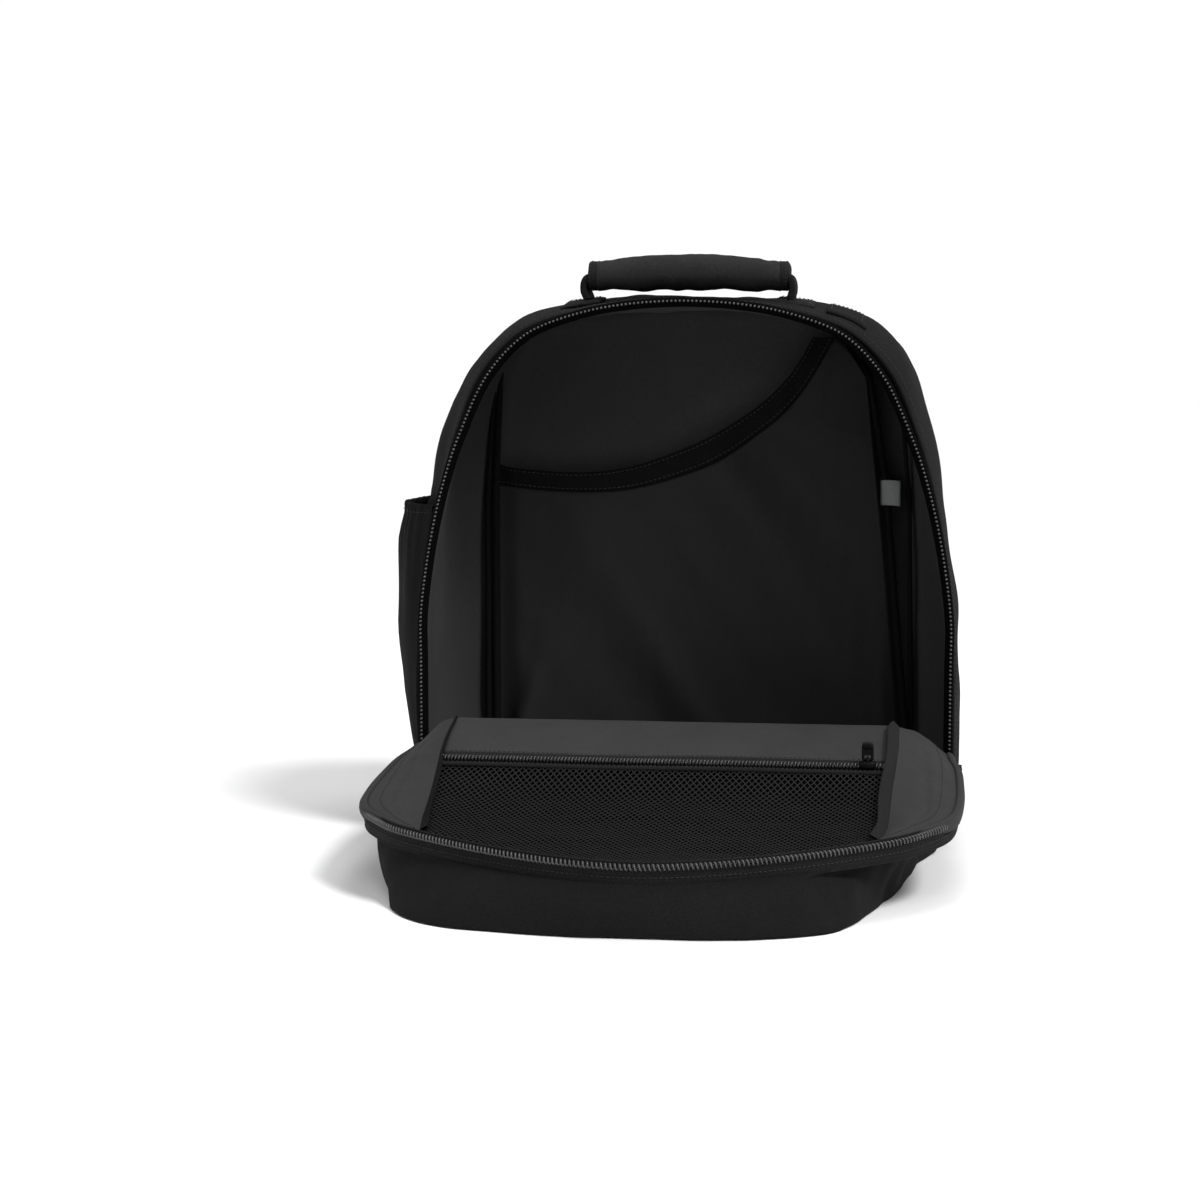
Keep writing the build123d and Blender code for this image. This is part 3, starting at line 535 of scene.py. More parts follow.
ZS = [0.5, 0.5, 1.6, 4.5, 9, 16, 24, 32, 40, 47, 51, 53]
IN = [14, 6, 3.2, 0.8, 0.1, 0, 0.2, 0.3, 0.4, 0.6, 1.0, 2.2]
tubo = tub("tub_cloth", 157.0, -46.0, 26, ZS, IN, M_OUT, 21, 12.0)
solid(tubo, 2.0, 1)
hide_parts("lower_front_panel")
P = []
for y in (-43.0, -30, -14, 0, 11):
    x = np.linspace(-149 + 10 * max(0, (-25 - y) / 20), 149 - 10 * max(0, (-25 - y) / 20), 60)
    P.append(np.c_[x, np.full(60, y), 6.0 + 0.7 * fabric_noise(x, np.full(60, y), x * 0, 9, 1.3)])
floorl = grid_obj("tub_floor_lining", P, M_LIN, body="pack_body", slot="lining_fabric")
solid(floorl, 0.6, -1)
P = []
for y in (-44.0, -30, -14, 0, 11):
    x = np.linspace(-148, 148, 40) * (1 if y > -30 else 0.93)
    P.append(np.c_[x, np.full(40, y), np.full(40, 0.8)])
underl = grid_obj("tub_base_cloth", P, M_OUT, body="pack_body", slot="outer_fabric")
solid(underl, 1.4, 1)
ZL = [6, 12, 20, 30, 40, 48, 54]
tubl = tub("tub_lining", 151.5, -42.5, 22, ZL, [6, 1.5, 0.3, 0, 0, 0.2, 0.6], M_LIN, 22, 6.0, flip=True)
solid(tubl, 0.6, 1)

# ---------------------------------------------------------------- laptop sleeve
BT = [(-131, 221), (-115, 218.5), (-78, 216.5), (-47, 220), (-19, 229), (8, 241), (36, 259), (54, 276), (64, 290), (71, 303)]
BL = [(-131, 208), (-102, 205), (-71, 204), (-45, 206), (-15, 214), (12, 225), (36, 241), (54, 256), (69, 275), (85, 303)]
bt, bl = catmull(BT, 120), catmull(BL, 120)


def sleeve_y(x, z):
    """Depth of the draped sleeve cloth: soft diagonal folds from the band down to the base."""
    s = (x * 0.78 + (z - 110) * 0.62)
    y = 108.0 - 4.0 * np.exp(-((x + 5) / 95) ** 2) * np.exp(-((z - 120) / 90) ** 2)
    env = smooth((z - 8) / 50) * smooth((226 - z + 0.32 * (x + 60)) / 40)
    y += env * (4.9 * np.sin(s / 13.5 + 0.5 * np.sin(z / 40.0)) * np.exp(-((x - 30) / 95) ** 2) + 2.2 * np.sin(s / 8.7 + 1.3 + 0.6 * np.sin(x / 33.0)) * np.exp(-((x + 10) / 70) ** 2))
    y -= 8.0 * np.exp(-(((x + 112) - (z - 60) * 0.28) / 9.0) ** 2) * smooth((120 - z) / 70) * smooth((z - 6) / 20)
    y += 0.35 * fabric_noise(x, z, x * 0, 31, 0.6)
    edge = smooth((131 - np.abs(x)) / 16)
    return 112.5 + (y - 112.5) * edge


def right_edge(z):
    return np.interp(z, [6, 55, 130, 211, 262, 278, 303], [130.5, 130.5, 123.5, 116.5, 108.5, 105, 88])


rows = []
for v in np.linspace(0, 1, 64):
    row = []
    for u in np.linspace(0, 1, 100):
        tx = np.interp(u, np.linspace(0, 1, 120), bl[:, 0]); tz = np.interp(u, np.linspace(0, 1, 120), bl[:, 1])
        if u > 0.93:
            pass
        bx = -131 + 261.5 * u
        row.append((lerp(bx, tx, 1.0) if v == 1 else 0, 0, 0))
    rows.append(row)
# cloth grid: columns run from the base to the top edge; the top edge is the band, then the slanted right seam
top = np.vstack([bl, np.array([(96, 294.0), (105, 278.0)])])
top = even(top, 130)
xs0 = np.linspace(-131, 130.5, 130)
P = []
for v in np.linspace(0, 1, 70):
    x = lerp(xs0, top[:, 0], v ** 1.15)
    z = lerp(7.0, top[:, 1], v)
    x = np.minimum(x, right_edge(z))
    P.append(np.c_[x, sleeve_y(x, z), z])
sleeve = grid_obj("sleeve_cloth", P, M_LIND, body="pack_body", slot="lining_fabric")
solid(sleeve, 0.7, -1)
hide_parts("laptop_sleeve_panel")

# wide folded band along the sleeve's opening edge
P = []
for v, off in ((0.0, 0.2), (0.0, -0.9), (0.12, -1.5), (0.35, -1.5), (0.65, -1.5), (0.88, -1.5), (1.0, -0.9), (1.0, 0.4), (0.9, 1.4), (0.1, 1.4)):
    x = lerp(bl[:, 0], bt[:, 0], v); z = lerp(bl[:, 1], bt[:, 1], v)
    yb = np.array([sleeve_y(np.array([p[0]]), np.array([p[1]]))[0] for p in bl])
    P.append(np.c_[x, yb + off + 0.3 * np.sin(np.linspace(0, 9, 120)), z])
P = np.array(P).transpose(1, 0, 2)
band = grid_obj("sleeve_band", P, M_BIND, close_v=True, flip=True, body="pack_body", slot="binding")
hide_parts("laptop_sleeve_binding")
for nm, v in (("sleeve_band_stitch_low", 0.16), ("sleeve_band_stitch_high", 0.86)):
    x = lerp(bl[:, 0], bt[:, 0], v); z = lerp(bl[:, 1], bt[:, 1], v)
    stitches(nm, np.c_[x, yb - 1.6 + 0.3 * np.sin(np.linspace(0, 9, 120)), z], (0, -1, 0), M_THREAD, pitch=3.0, length=2.0, r=0.24, body="pack_body", slot="binding")

# bound seams at the sleeve's sides
zz = np.linspace(7, 286, 90)
for nm, xs, cad in (("sleeve_piping_left", np.interp(zz, [7, 200, 286], [-132.0, -132.5, -129]), "sleeve_seam_left"), ("sleeve_piping_right", right_edge(zz) + 1.0, "sleeve_seam_right")):
    p = tube(nm, np.c_[xs, np.full(90, 111.4) + 0.5 * np.sin(zz / 21.0), zz], 2.3, M_BIND, seg=8, up=(0, 1, 0), body="pack_body", slot="binding")
    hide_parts(cad)
lseam = tube("back_panel_seam_left", np.c_[np.interp(zz, [7, 200, 286], [-137.0, -137.0, -132]), np.full(90, 108.5) + 0.4 * np.sin(zz / 17.0), zz], 1.7, M_BIND, seg=8, up=(0, 1, 0), body="pack_body", slot="binding")
P = [np.c_[lerp(np.interp(zz, [7, 200, 286], [-137.0, -137.0, -132]), np.interp(zz, [7, 200, 286], [-132.0, -132.5, -129]), v), np.full(90, lerp(109.5, 111.8, v)), zz] for v in np.linspace(0, 1, 5)]
lsb = grid_obj("back_panel_strip_left", P, M_DARK_TAPE_AND_SHADE, body="pack_body", slot="binding")
solid(lsb, 0.6, 0)
zz2 = np.linspace(40, 262, 70)
outer_seam = tube("back_panel_seam_right", np.c_[np.interp(zz2, [40, 200, 262], [135.5, 132.5, 127]), np.full(70, 114.0), zz2], 1.5, M_BIND, seg=8, up=(0, 1, 0), body="pack_body", slot="binding")

# blank sewn-in label, looped and slightly curled
P = []
for v in np.linspace(0, 1, 14):
    x = np.linspace(0, 12.6, 12)
    z = 213.0 - 16.0 * v
    P.append(np.c_[114.6 + x, 110.0 - 2.4 * np.sin(x / 12.6 * 2.2) - 1.4 * v * v * (x / 12.6), np.full(12, z) + 0.25 * np.sin(x / 3)])
label = grid_obj("care_tag", P, M_LABEL, body="pack_body", slot="label")
solid(label, 0.5, 0)
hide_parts("care_label")

# ================================================================ FRONT HALF
HZ, AL = 57.0, math.radians(3.86)
CA, SA = math.cos(AL), math.sin(AL)


def lid_pt(x, u, w):
    """A point at distance u from the fold along the rim plane, w under it."""
    x, u, w = np.broadcast_arrays(np.asarray(x, float), np.asarray(u, float), np.asarray(w, float))
    return np.stack([x, -u * CA + w * SA, HZ - u * SA - w * CA], -1)


RIMH = [(160.6, 3), (162.5, 20), (165, 36), (166.5, 52), (167.3, 75), (167.8, 100), (167.3, 125), (165.5, 148), (161, 165), (153, 180), (140, 198), (124, 212), (105, 225.5), (85, 238), (62, 250), (38, 259.5), (18, 264.5), (0, 266.5)]
FOOTH = [(153, 12), (152.5, 26), (152, 40), (151, 54), (149, 80), (146, 105), (143, 130), (139, 152), (134, 172), (129, 192), (123, 210), (116, 228), (106, 243), (92, 256), (72, 265.5), (48, 270.5), (24, 272), (0, 272)]
MR = 260
rim = catmull(full(RIMH), MR)      # right rear, round the front, to left rear: (X, u)
foot = catmull(full(FOOTH), MR)    # (X, -Y)


def corner(u, x):
    """How far the foot's front corners stand out beyond the table at depth u."""
    left = np.interp(u, [190, 215, 228, 243, 256, 262, 268, 272], [0, 6.5, 7, 9, 10, 12, 5, 0])
    right = np.interp(u, [200, 215, 232, 249, 258, 266], [0, 2, 4, 6, 3, 0])
    return np.where(x < 0, -left, right) * smooth((np.abs(x) - 50) / 40)


foot[:, 0] += corner(foot[:, 1], foot[:, 0])


def bl_lid(o):
    bake(o)
    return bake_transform(o)


rim_t = tangents(rim)
rim_n = np.c_[rim_t[:, 1], -rim_t[:, 0]]          # outward in (X, u)

# outer cloth: wall from under the rim tape to the floor, rolled edge, then the flat panel underneath
V = [0.0, 0.03, 0.1, 0.2, 0.32, 0.45, 0.58, 0.7, 0.8, 0.88, 0.94, 0.975, 1.0]
rows = []
top3 = lid_pt(rim[:, 0], rim[:, 1], 11.5)
foot3 = np.c_[foot[:, 0], -foot[:, 1], np.full(MR, 0.6)]
out3 = np.c_[rim_n[:, 0], -rim_n[:, 1], np.zeros(MR)]
t_run = np.linspace(0, 1, MR)
front = np.exp(-((t_run - 0.5) / 0.25) ** 2)
for v in V:
    h = 1 - (1 - v) ** 1.0
    q = lerp(top3, foot3, v)
    q[:, 2] = lerp(top3[:, 2], 0.6, min(1.0, v * 1.06))
    bulge = (3.0 + 5.0 * front) * math.sin(math.pi * min(1, v * 0.93)) ** 0.8 * (1 - 0.25 * v)
    q = q + out3 * bulge[:, None]
    if v > 0.9:
        q = q - out3 * (3.2 * ((v - 0.9) / 0.1) ** 2)
    inset = np.where(q[:, 0] > 0, float(np.interp(v, [0, 0.1, 0.5, 0.7, 0.85, 1], [20, 21, 17.5, 14.5, 11.0, 7.5])), 8.0 - 19.0 * v) * float(smooth(np.array(v / 0.09)))
    q[:, 0] -= np.sign(q[:, 0]) * inset * smooth((np.abs(q[:, 0]) - 70) / 70) * np.where(q[:, 0] > 0, smooth((-q[:, 1] - 12) / 52), smooth((-q[:, 1] - 40) / 50))
    rows.append(q)
rows = np.array(rows)
w = fabric_noise(rows[..., 0], rows[..., 1], rows[..., 2], 41, 1.25)
amp = 1.5 * np.sin(np.pi * np.clip(np.array(V), 0, 1)) ** 0.7
rows = rows + out3[None] * (w * amp[:, None])[..., None]
# long soft dents that run down the wall from the rim's corners
dent = np.zeros(MR)
for c0, wd, a0 in ((0.17, 0.018, 2.6), (0.23, 0.012, 1.8), (0.79, 0.016, 2.4), (0.86, 0.014, 1.9), (0.40, 0.03, 1.3), (0.63, 0.035, 1.2)):
    dent += a0 * np.exp(-((t_run - c0) / wd) ** 2)
rows = rows - out3[None] * (dent[None] * np.array([math.sin(math.pi * min(1, v * 0.9)) ** 2 for v in V])[:, None])[..., None]
rows[..., 2] = np.maximum(rows[..., 2], 0.6)
under = []
for f in (0.985, 0.965, 0.94):
    q = rows[-1].copy()
    q[:, 0] *= f
    q[:, 1] = np.maximum(q[:, 1], -270.0 * (0.5 + 0.5 * f)) if f < 0.98 else q[:, 1]
    q[:, 2] = 0.9
    under.append(q)
P = np.concatenate([rows, np.array(under)])
lid_cloth = grid_obj("lid_cloth", P, M_OUT, flip=True, slot="outer_fabric")
solid(lid_cloth, 1.8, 1)
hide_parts("lid_gusset_shell", "lid_front_panel")
lid_wall = rows.copy()
bl_lid(lid_cloth)

# front panel: one sheet from the tub's top edge down to the floor and forward
uf = np.array([p[1] for p in FOOTH], float); xf = np.array([p[0] for p in FOOTH], float)
P = []
seq = [(-47.6, 53.5, 0), (-48.6, 52.4, 0), (-49.2, 48.0, 0), (-49.4, 36.0, 0), (-49.4, 24.0, 0), (-49.4, 12.0, 0), (-49.8, 5.0, 0), (-51.2, 1.9, 0), (-54.0, 0.75, 1)]
seq += [(y, 0.6, 1) for y in np.r_[np.linspace(-58, -255, 44), -260, -264.5, -267.5, -269.6, -270.8, -271.5]]
for y, z, flat in seq:
    f0 = np.interp(-y, uf, xf)
    g = smooth((f0 - 70) / 70) * smooth((-y - 40) / 50)
    gr = smooth((f0 - 70) / 70) * smooth((-y - 12) / 52)
    xr, xl = f0 - 7.5 * gr - 0.6 + float(corner(-y, f0)), f0 + 11.0 * g - 0.6 - float(corner(-y, -f0))
    x = np.linspace(-xl, xr, 120)
    if flat:
        zz_ = z + 0.5 * np.abs(fabric_noise(x, np.full(120, y), x * 0, 45, 1.1))
        P.append(np.c_[x, np.full(120, y), zz_])
    else:
        P.append(np.c_[x, y + 0.5 * fabric_noise(x, np.full(120, z), x * 0, 46, 1.0), np.full(120, z)])
front_panel = grid_obj("front_panel_cloth", P, M_OUT, flip=False, slot="outer_fabric")
solid(front_panel, 1.2, 0)
bake(front_panel)
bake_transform(front_panel)
ft = [p for p in lid_wall[-1] if p[1] < -52.0]
fpipe = tube("front_panel_piping", even(np.array(ft) + [0, 0, 0.9], 300), 1.0, M_OUT, seg=8, slot="outer_fabric")
bl_lid(fpipe)

# rim tape and coil
P = []
for wv, o in ((0.4, -1.3), (1.2, -0.3), (3.0, 0.0), (6.0, 0.2), (9.0, 0.3), (11.6, 0.4), (12.8, -0.4)):
    P.append(lid_pt(rim[:, 0] + rim_n[:, 0] * o, rim[:, 1] + rim_n[:, 1] * o, wv))
ltape = grid_obj("lid_tape", P, M_TAPE, flip=True, slot="zip_tape")
solid(ltape, 0.8, 1)
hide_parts("lid_zip_tape")
bl_lid(ltape)
rc = even(rim, 1200)
rt = tangents(rc)
rn = np.c_[rt[:, 1], -rt[:, 0]]
pc = lid_pt(rc[:, 0] + rn[:, 0] * 0.9, rc[:, 1] + rn[:, 1] * 0.9, 2.6)
lcoil = coil("lid_coil", pc, np.c_[rn[:, 0], -rn[:, 1] * CA, -rn[:, 1] * SA], (0, SA, -CA), 2.5, 0.9, 1.45, 0.55, M_COIL, seg=6, steps=10, slot="zip_coil")
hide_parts("lid_zip_coil")
bl_lid(lcoil)
rp = even(rim, 400); rpt = tangents(rp); rpn = np.c_[rpt[:, 1], -rpt[:, 0]]
edge = tube("lid_rim_edge", lid_pt(rp[:, 0] - rpn[:, 0] * 1.2, rp[:, 1] - rpn[:, 1] * 1.2, 0.5), 0.8, M_TAPE, seg=6, slot="zip_tape")
bl_lid(edge)
lpipe = tube("lid_seam_piping", lid_pt(rp[:, 0] - rpn[:, 0] * 0.4, rp[:, 1] - rpn[:, 1] * 0.4, 12.6), 0.8, M_TAPE, seg=8, slot="binding")
bl_lid(lpipe)
nrm3 = np.c_[rpn[:, 0], -rpn[:, 1], np.zeros(len(rp))]
lst = stitches("lid_tape_stitch", lid_pt(rp[:, 0] + rpn[:, 0] * 0.75, rp[:, 1] + rpn[:, 1] * 0.75, 8.2), nrm3, M_THREAD, pitch=2.8, length=1.8, r=0.24, slot="binding")
bl_lid(lst)
# ---------------------------------------------------------------- fold: outer cloth over the ridge and down to the floor
fold_out = [(-43.5, 3), (-45.6, 12), (-47.0, 30), (-47.0, 50), (-46.4, 64), (-46.6, 72), (-47.8, 76.0), (-50.0, 76.6), (-54, 74.8), (-62, 69.5), (-76, 55), (-92, 34), (-104, 16), (-112, 6), (-122, 2.4), (-140, 2.2)]
fo = catmull(fold_out, 60)
XW = 138.0
P = []
for (y, z) in fo:
    wdt = XW - 9 * smooth((z - 55) / 25)
    x = np.linspace(-wdt + 6 * smooth((-y - 66) / 40), wdt - 24 * smooth((-y - 58) / 40), 90)
    zz = z + (fabric_noise(x, np.full(90, y), np.full(90, z), 51, 1.2) * 1.1 * smooth((-y - 47) / 10))
    P.append(np.c_[x, np.full(90, y) + 0.7 * fabric_noise(x, np.full(90, z), x * 0, 52, 1.3) * smooth((z - 8) / 20), np.maximum(zz, 1.9)])
foldo = grid_obj("fold_outer_cloth", P, M_OUT, slot="outer_fabric")
solid(foldo, 1.0, 0)
bl_lid(foldo)

# lining that comes up inside the tub, over the ridge and down to the mesh pocket's zip
fold_in = [(-42.2, 8), (-43.3, 25), (-43.6, 45), (-43.2, 62), (-43.6, 72), (-45.4, 77.8), (-48.0, 79.6), (-51.0, 79.4), (-56, 78.0), (-66, 75.4), (-78, 72.2), (-90, 68.8), (-97.0, 66.4)]
fi = catmull(fold_in, 60)


def flap_x(y):
    """Half width of the inner panel along the flap line."""
    return np.interp(-y, [40, 47, 75, 95, 115, 150, 178, 205, 219], [130.8, 130.6, 131.2, 130.7, 129.7, 127.7, 125.8, 122.4, 119.0])


def flap_z(y):
    return np.interp(-y, [40, 47, 60, 75, 97, 108, 130, 150, 180, 219], [76, 79.4, 76.8, 73.0, 66.4, 61.8, 54.0, 48.6, 43.6, 40.6])


P = []
for (y, z) in fi:
    x = np.linspace(-1, 1, 100) * flap_x(y)
    sag = 0.9 * fabric_noise(x, np.full(100, y), x * 0, 61, 1.1) * smooth((-y - 46) / 12) * smooth((97.0 + y) / 8)
    dip = 1.0 * smooth((-y - 52) / 20) * smooth((97 + y) / 10) * (1 - (x / 127.0) ** 2)
    P.append(np.c_[x, np.full(100, y), z + sag - dip])
foldi = grid_obj("fold_lining", P, M_LIN, flip=False, slot="lining_fabric")
solid(foldi, 0.6, -1)
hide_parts("lid_inner_panel")
bl_lid(foldi)
rs = even(np.c_[np.linspace(-126, 126, 60), np.full(60, -47.4), np.full(60, 79.9)], 60)

# ---------------------------------------------------------------- wings: lining from the seam flap out to the rim
rim_r = rim[: MR // 2]
sel = even(rim_r[rim_r[:, 1] <= 209.0], 120)             # right side rim from the fold to where the flap meets it
st_ = tangents(sel); sn = np.c_[st_[:, 1], -st_[:, 0]]
tv = np.linspace(0, 1, 120)
cover = 1 - smooth((sel[:, 1] - 150.0) / 50.0)           # the lining rolls over the rim at the sides, not at the front
Bin = lid_pt(sel[:, 0] - sn[:, 0] * (1.6 + 1.6 * (1 - cover)), sel[:, 1] - sn[:, 1] * (1.6 + 1.6 * (1 - cover)), -0.4)
ya = lerp(-43.0, -206.5, tv ** 0.95)
Ain = np.c_[flap_x(ya) + 0.8, ya, flap_z(ya) + 0.2]
Ain0 = Ain
for side, tag in ((1, "right"), (-1, "left")):
    Ain = Ain0.copy()
    Ain[:, 0] += (3.4 if side > 0 else 0.0) * smooth((-Ain[:, 1] - 115) / 80)
    P = []
    for v in np.r_[0.0, 0.015, np.linspace(0.04, 0.88, 26), 0.92, 0.96, 1.0]:
        q = lerp(Ain, Bin, v)
        hump = (2.2 * (1 - tv) ** 1.1 + 1.4) * math.sin(math.pi * v ** 0.9) * smooth((1 - tv) / 0.08)
        q[:, 2] += hump
        q[:, 1] -= 2.5 * math.sin(math.pi * v) * np.exp(-(tv / 0.12) ** 2)
        q[:, 2] += 0.8 * math.sin(math.pi * min(1, v)) * fabric_noise(q[:, 0] * side, q[:, 1], q[:, 2] * 0, 71 if side > 0 else 72, 1.0)
        # one long soft crease from the ridge to the front corner
        q[:, 2] -= 1.1 * np.exp(-((v - 0.42 - 0.25 * tv) / 0.07) ** 2) * np.sin(np.pi * np.clip(tv * 1.1, 0, 1))
        P.append(q)
    P = np.array(P)
    tapeP = [Bin - np.c_[sn[:, 0] * 9.0, -sn[:, 1] * 9.0, np.zeros(120)] * 0 + np.array([0, 0, 0.05])]
    for o_out, w_out, o_in, w_in in ((-0.6, -0.95, -2.6, -0.5), (0.8, -1.0, -2.0, -0.55), (2.2, -0.4, -1.6, -0.3), (3.1, 1.0, -1.3, 0.2), (3.3, 3.0, -1.2, 1.0), (3.0, 5.2, -1.2, 2.2), (2.0, 7.0, -1.3, 3.4)):
        o = lerp(o_in, o_out, cover); w_ = lerp(w_in, w_out, cover)
        tapeP.append(lid_pt(sel[:, 0] + sn[:, 0] * o, sel[:, 1] + sn[:, 1] * o, w_))
    tapeP = np.array(tapeP)
    for arr in (P, tapeP):
        arr[..., 0] *= side
    wing = grid_obj("wing_lining_" + tag, P, M_LIN, flip=side < 0, slot="lining_fabric")
    solid(wing, 0.6, -1)
    if side > 0:
        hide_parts("lid_gusset_lining")
    bl_lid(wing)
    band_ = grid_obj("wing_roll_" + tag, tapeP, M_LIN, flip=side < 0, slot="lining_fabric")
    solid(band_, 0.6, -1)
    bl_lid(band_)
    iv = 24
    stw = stitches("wing_stitch_" + tag, P[iv] + np.array([0, 0, 0.3]), (0, 0, 1), M_THREAD, pitch=3.0, length=2.0, r=0.2, slot="binding")
    bl_lid(stw)
    # bound seam that stands up along the inner panel's side; the right one takes a lighter binding as painted light,
    # the left keeps the dark binding
    yb_ = np.linspace(-43, -205, 110)
    base = np.c_[flap_x(yb_) + (1.2 + 3.4 * smooth((-yb_ - 115) / 80) if side > 0 else 0.6), yb_, flap_z(yb_) - 0.5]
    if side > 0:
        h = np.interp(-yb_, [43, 52, 90, 150, 205], [2.4, 4.4, 4.6, 4.4, 3.2])
        lean = np.interp(-yb_, [43, 60, 120, 205], [2.0, 5.6, 5.8, 5.6]) + 0.5 * np.sin(yb_ / 13.0)
    else:
        h = np.interp(-yb_, [43, 52, 90, 150, 205], [1.4, 2.2, 2.4, 2.6, 2.2])
        lean = np.interp(-yb_, [43, 60, 120, 205], [0.4, 1.2, 2.2, 3.4]) + 0.3 * np.sin(yb_ / 11.0)
    tip = base + np.c_[-lean, np.zeros(110), h]
    Pf = []
    nn = np.c_[h, np.zeros(110), lean]; nn /= np.linalg.norm(nn, axis=1)[:, None]
    th_ = 0.75
    for a in np.linspace(0, 1, 5):
        Pf.append(lerp(base, tip, a) + nn * th_)
    for a in np.linspace(0.2, 0.8, 3):
        ang = math.pi * a
        Pf.append(tip + nn * th_ * math.cos(ang) + (tip - base) / np.linalg.norm(tip - base, axis=1)[:, None] * th_ * math.sin(ang))
    for a in np.linspace(1, 0, 5):
        Pf.append(lerp(base, tip, a) - nn * th_)
    Pf = np.array(Pf); Pf[..., 0] *= side
    flap = grid_obj("seam_flap_" + tag, Pf.transpose(1, 0, 2), M_BIND if side < 0 else M_FLAP_LIT, close_v=True, flip=side > 0, slot="binding")
    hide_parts("lid_seam_binding_" + tag)
    bl_lid(flap)

# ---------------------------------------------------------------- mesh pocket
def mesh_z(x, y):
    z = np.interp(-y, [97, 108, 120, 140, 165, 190, 220, 262], [64.5, 61.8, 57.2, 50.6, 45.6, 42.2, 39.4, 37.6])
    edge = np.clip(1 - np.abs(x) / flap_x(y), 0, 1)
    z = z - 3.0 * smooth(edge * 3.0) * smooth((-y - 108) / 25) * smooth((262 + y) / 30)
    return z + 0.5 * fabric_noise(x, y, x * 0, 81, 1.0)


rim_half = lambda u: np.interp(u, [p[1] for p in RIMH[3:]], [p[0] for p in RIMH[3:]])


def in_pocket(x, y):
    u = -y / CA
    lim = np.minimum(flap_x(y), np.where(u > 200, rim_half(np.clip(u + 1.5, 0, 266.4)) - 1.0, 999))
    return (np.abs(x) < lim) & (y < -107.8) & (y > -264.0)


PITCH = 2.6
bm = bmesh.new()
d = PITCH / math.sqrt(2) * 1.0
vmap = {}
cells = []
nmax = int(420 / d)
for i in range(-nmax, nmax):
    for j in range(-nmax, nmax):
        x = (i - j) * d; y = -185 + (i + j) * d * 1.42
        if abs(x) > 132 or y > -104 or y < -268:
            continue
        cells.append((i, j, x, y))
cx = np.array([c[2] for c in cells]); cy = np.array([c[3] for c in cells])
ok = in_pocket(cx, cy)
cells = [c for c, k_ in zip(cells, ok) if k_]
corner = {}
def vkey(i, j):
    if (i, j) not in corner:
        x = (i - j) * d; y = -185 + (i + j) * d * 1.42 - d * 1.42
        corner[(i, j)] = len(corner)
        vmap[(i, j)] = (x, y)
    return corner[(i, j)]
F = [(vkey(i, j), vkey(i + 1, j), vkey(i + 1, j + 1), vkey(i, j + 1)) for i, j, _, _ in cells]
vx = np.array([vmap[k_][0] for k_ in corner]); vy = np.array([vmap[k_][1] for k_ in corner])
lim = flap_x(vy)
vx = np.clip(vx, -lim, lim)
vy = np.minimum(vy, -107.0)
netv = np.c_[vx, vy, mesh_z(vx, vy)]
net = mesh_obj("pocket_net", netv, F, M_MESHNET, slot="pocket_mesh")
bm = bmesh.new(); bm.from_mesh(net.data)
fs = bm.faces[:]
res = bmesh.ops.inset_individual(bm, faces=fs, thickness=0.00034, use_even_offset=True)
bmesh.ops.delete(bm, geom=fs, context="FACES_ONLY")
bm.to_mesh(net.data); bm.free()
net.data.polygons.foreach_set("use_smooth", [False] * len(net.data.polygons))
solid(net, 0.34, 0)
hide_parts("mesh_pocket_panel")
bake(net)
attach(net, "lid")

# pocket backing and lid lining under the net, in the near-black material: painted shade in the recess under the net
P = []
for y in np.linspace(-98, -262, 40):
    lim = min(flap_x(y), rim_half(np.clip(-y / CA + 3, 0, 266.4)) - 2 if y < -200 else 999)
    x = np.linspace(-lim, lim, 70)
    yy = np.full(70, y)
    P.append(np.c_[x, yy, mesh_z(x, yy) - 4.5 * smooth((-y - 98) / 14) * smooth((263 + y) / 8) - 1.2])
backing = grid_obj("pocket_backing", P, M_DARK_TAPE_AND_SHADE, slot="lining_fabric", body="lid")
solid(backing, 0.5, -1)
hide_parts("lid_floor_lining")

# pocket zip: tapes, coil, piping under it
xz = np.linspace(-129.0, 129.0, 120)
for nm, ya_, yb2, za, zb in (("pocket_tape_upper", -96.4, -102.4, 66.9, 64.4), ("pocket_tape_lower", -103.6, -108.2, 63.6, 62.2)):
    P = [np.c_[xz, np.full(120, lerp(ya_, yb2, v)), np.full(120, lerp(za, zb, v)) + 0.25 * np.sin(xz / 23.0)] for v in np.linspace(0, 1, 5)]
    # the lower pocket tape takes the near-black material as painted shade; the upper tape of the same zip is the
    # lighter zip tape
    tp = grid_obj(nm, P, M_DARK_TAPE_AND_SHADE if "lower" in nm else M_TAPE, slot="zip_tape", body="lid")
    solid(tp, 0.6, -1)
    if "upper" in nm:
        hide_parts("mesh_zip_tape")
xc = np.linspace(-128.6, 128.0, 760)
mc = coil("pocket_coil", np.c_[xc, np.full(760, -103.4), np.full(760, 65.3)], (0, 1, 0), (0, 0, 1), 2.0, 1.2, 1.35, 0.42, M_COIL, seg=5, steps=10, body="lid", slot="zip_coil")
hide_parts("mesh_zip_coil")
mp_ = tube("pocket_piping", np.c_[xz, np.full(120, -108.9), np.full(120, 62.2) + 0.25 * np.sin(xz / 23.0)], 1.35, M_TAPE, seg=8, body="lid", slot="binding")
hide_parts("mesh_pocket_binding")
stitches("pocket_stitch", np.c_[xz, np.full(120, -106.6), np.full(120, 63.3) + 0.25 * np.sin(xz / 23.0)], (0, -0.3, 1), M_THREAD, pitch=2.6, length=1.7, r=0.2, body="lid", slot="binding")
stitches("fold_lining_stitch", np.c_[xz, np.full(120, -95.2), np.full(120, 67.9) + 0.25 * np.sin(xz / 23.0)], (0, -0.2, 1), M_THREAD, pitch=2.8, length=1.8, r=0.2, body="lid", slot="binding")

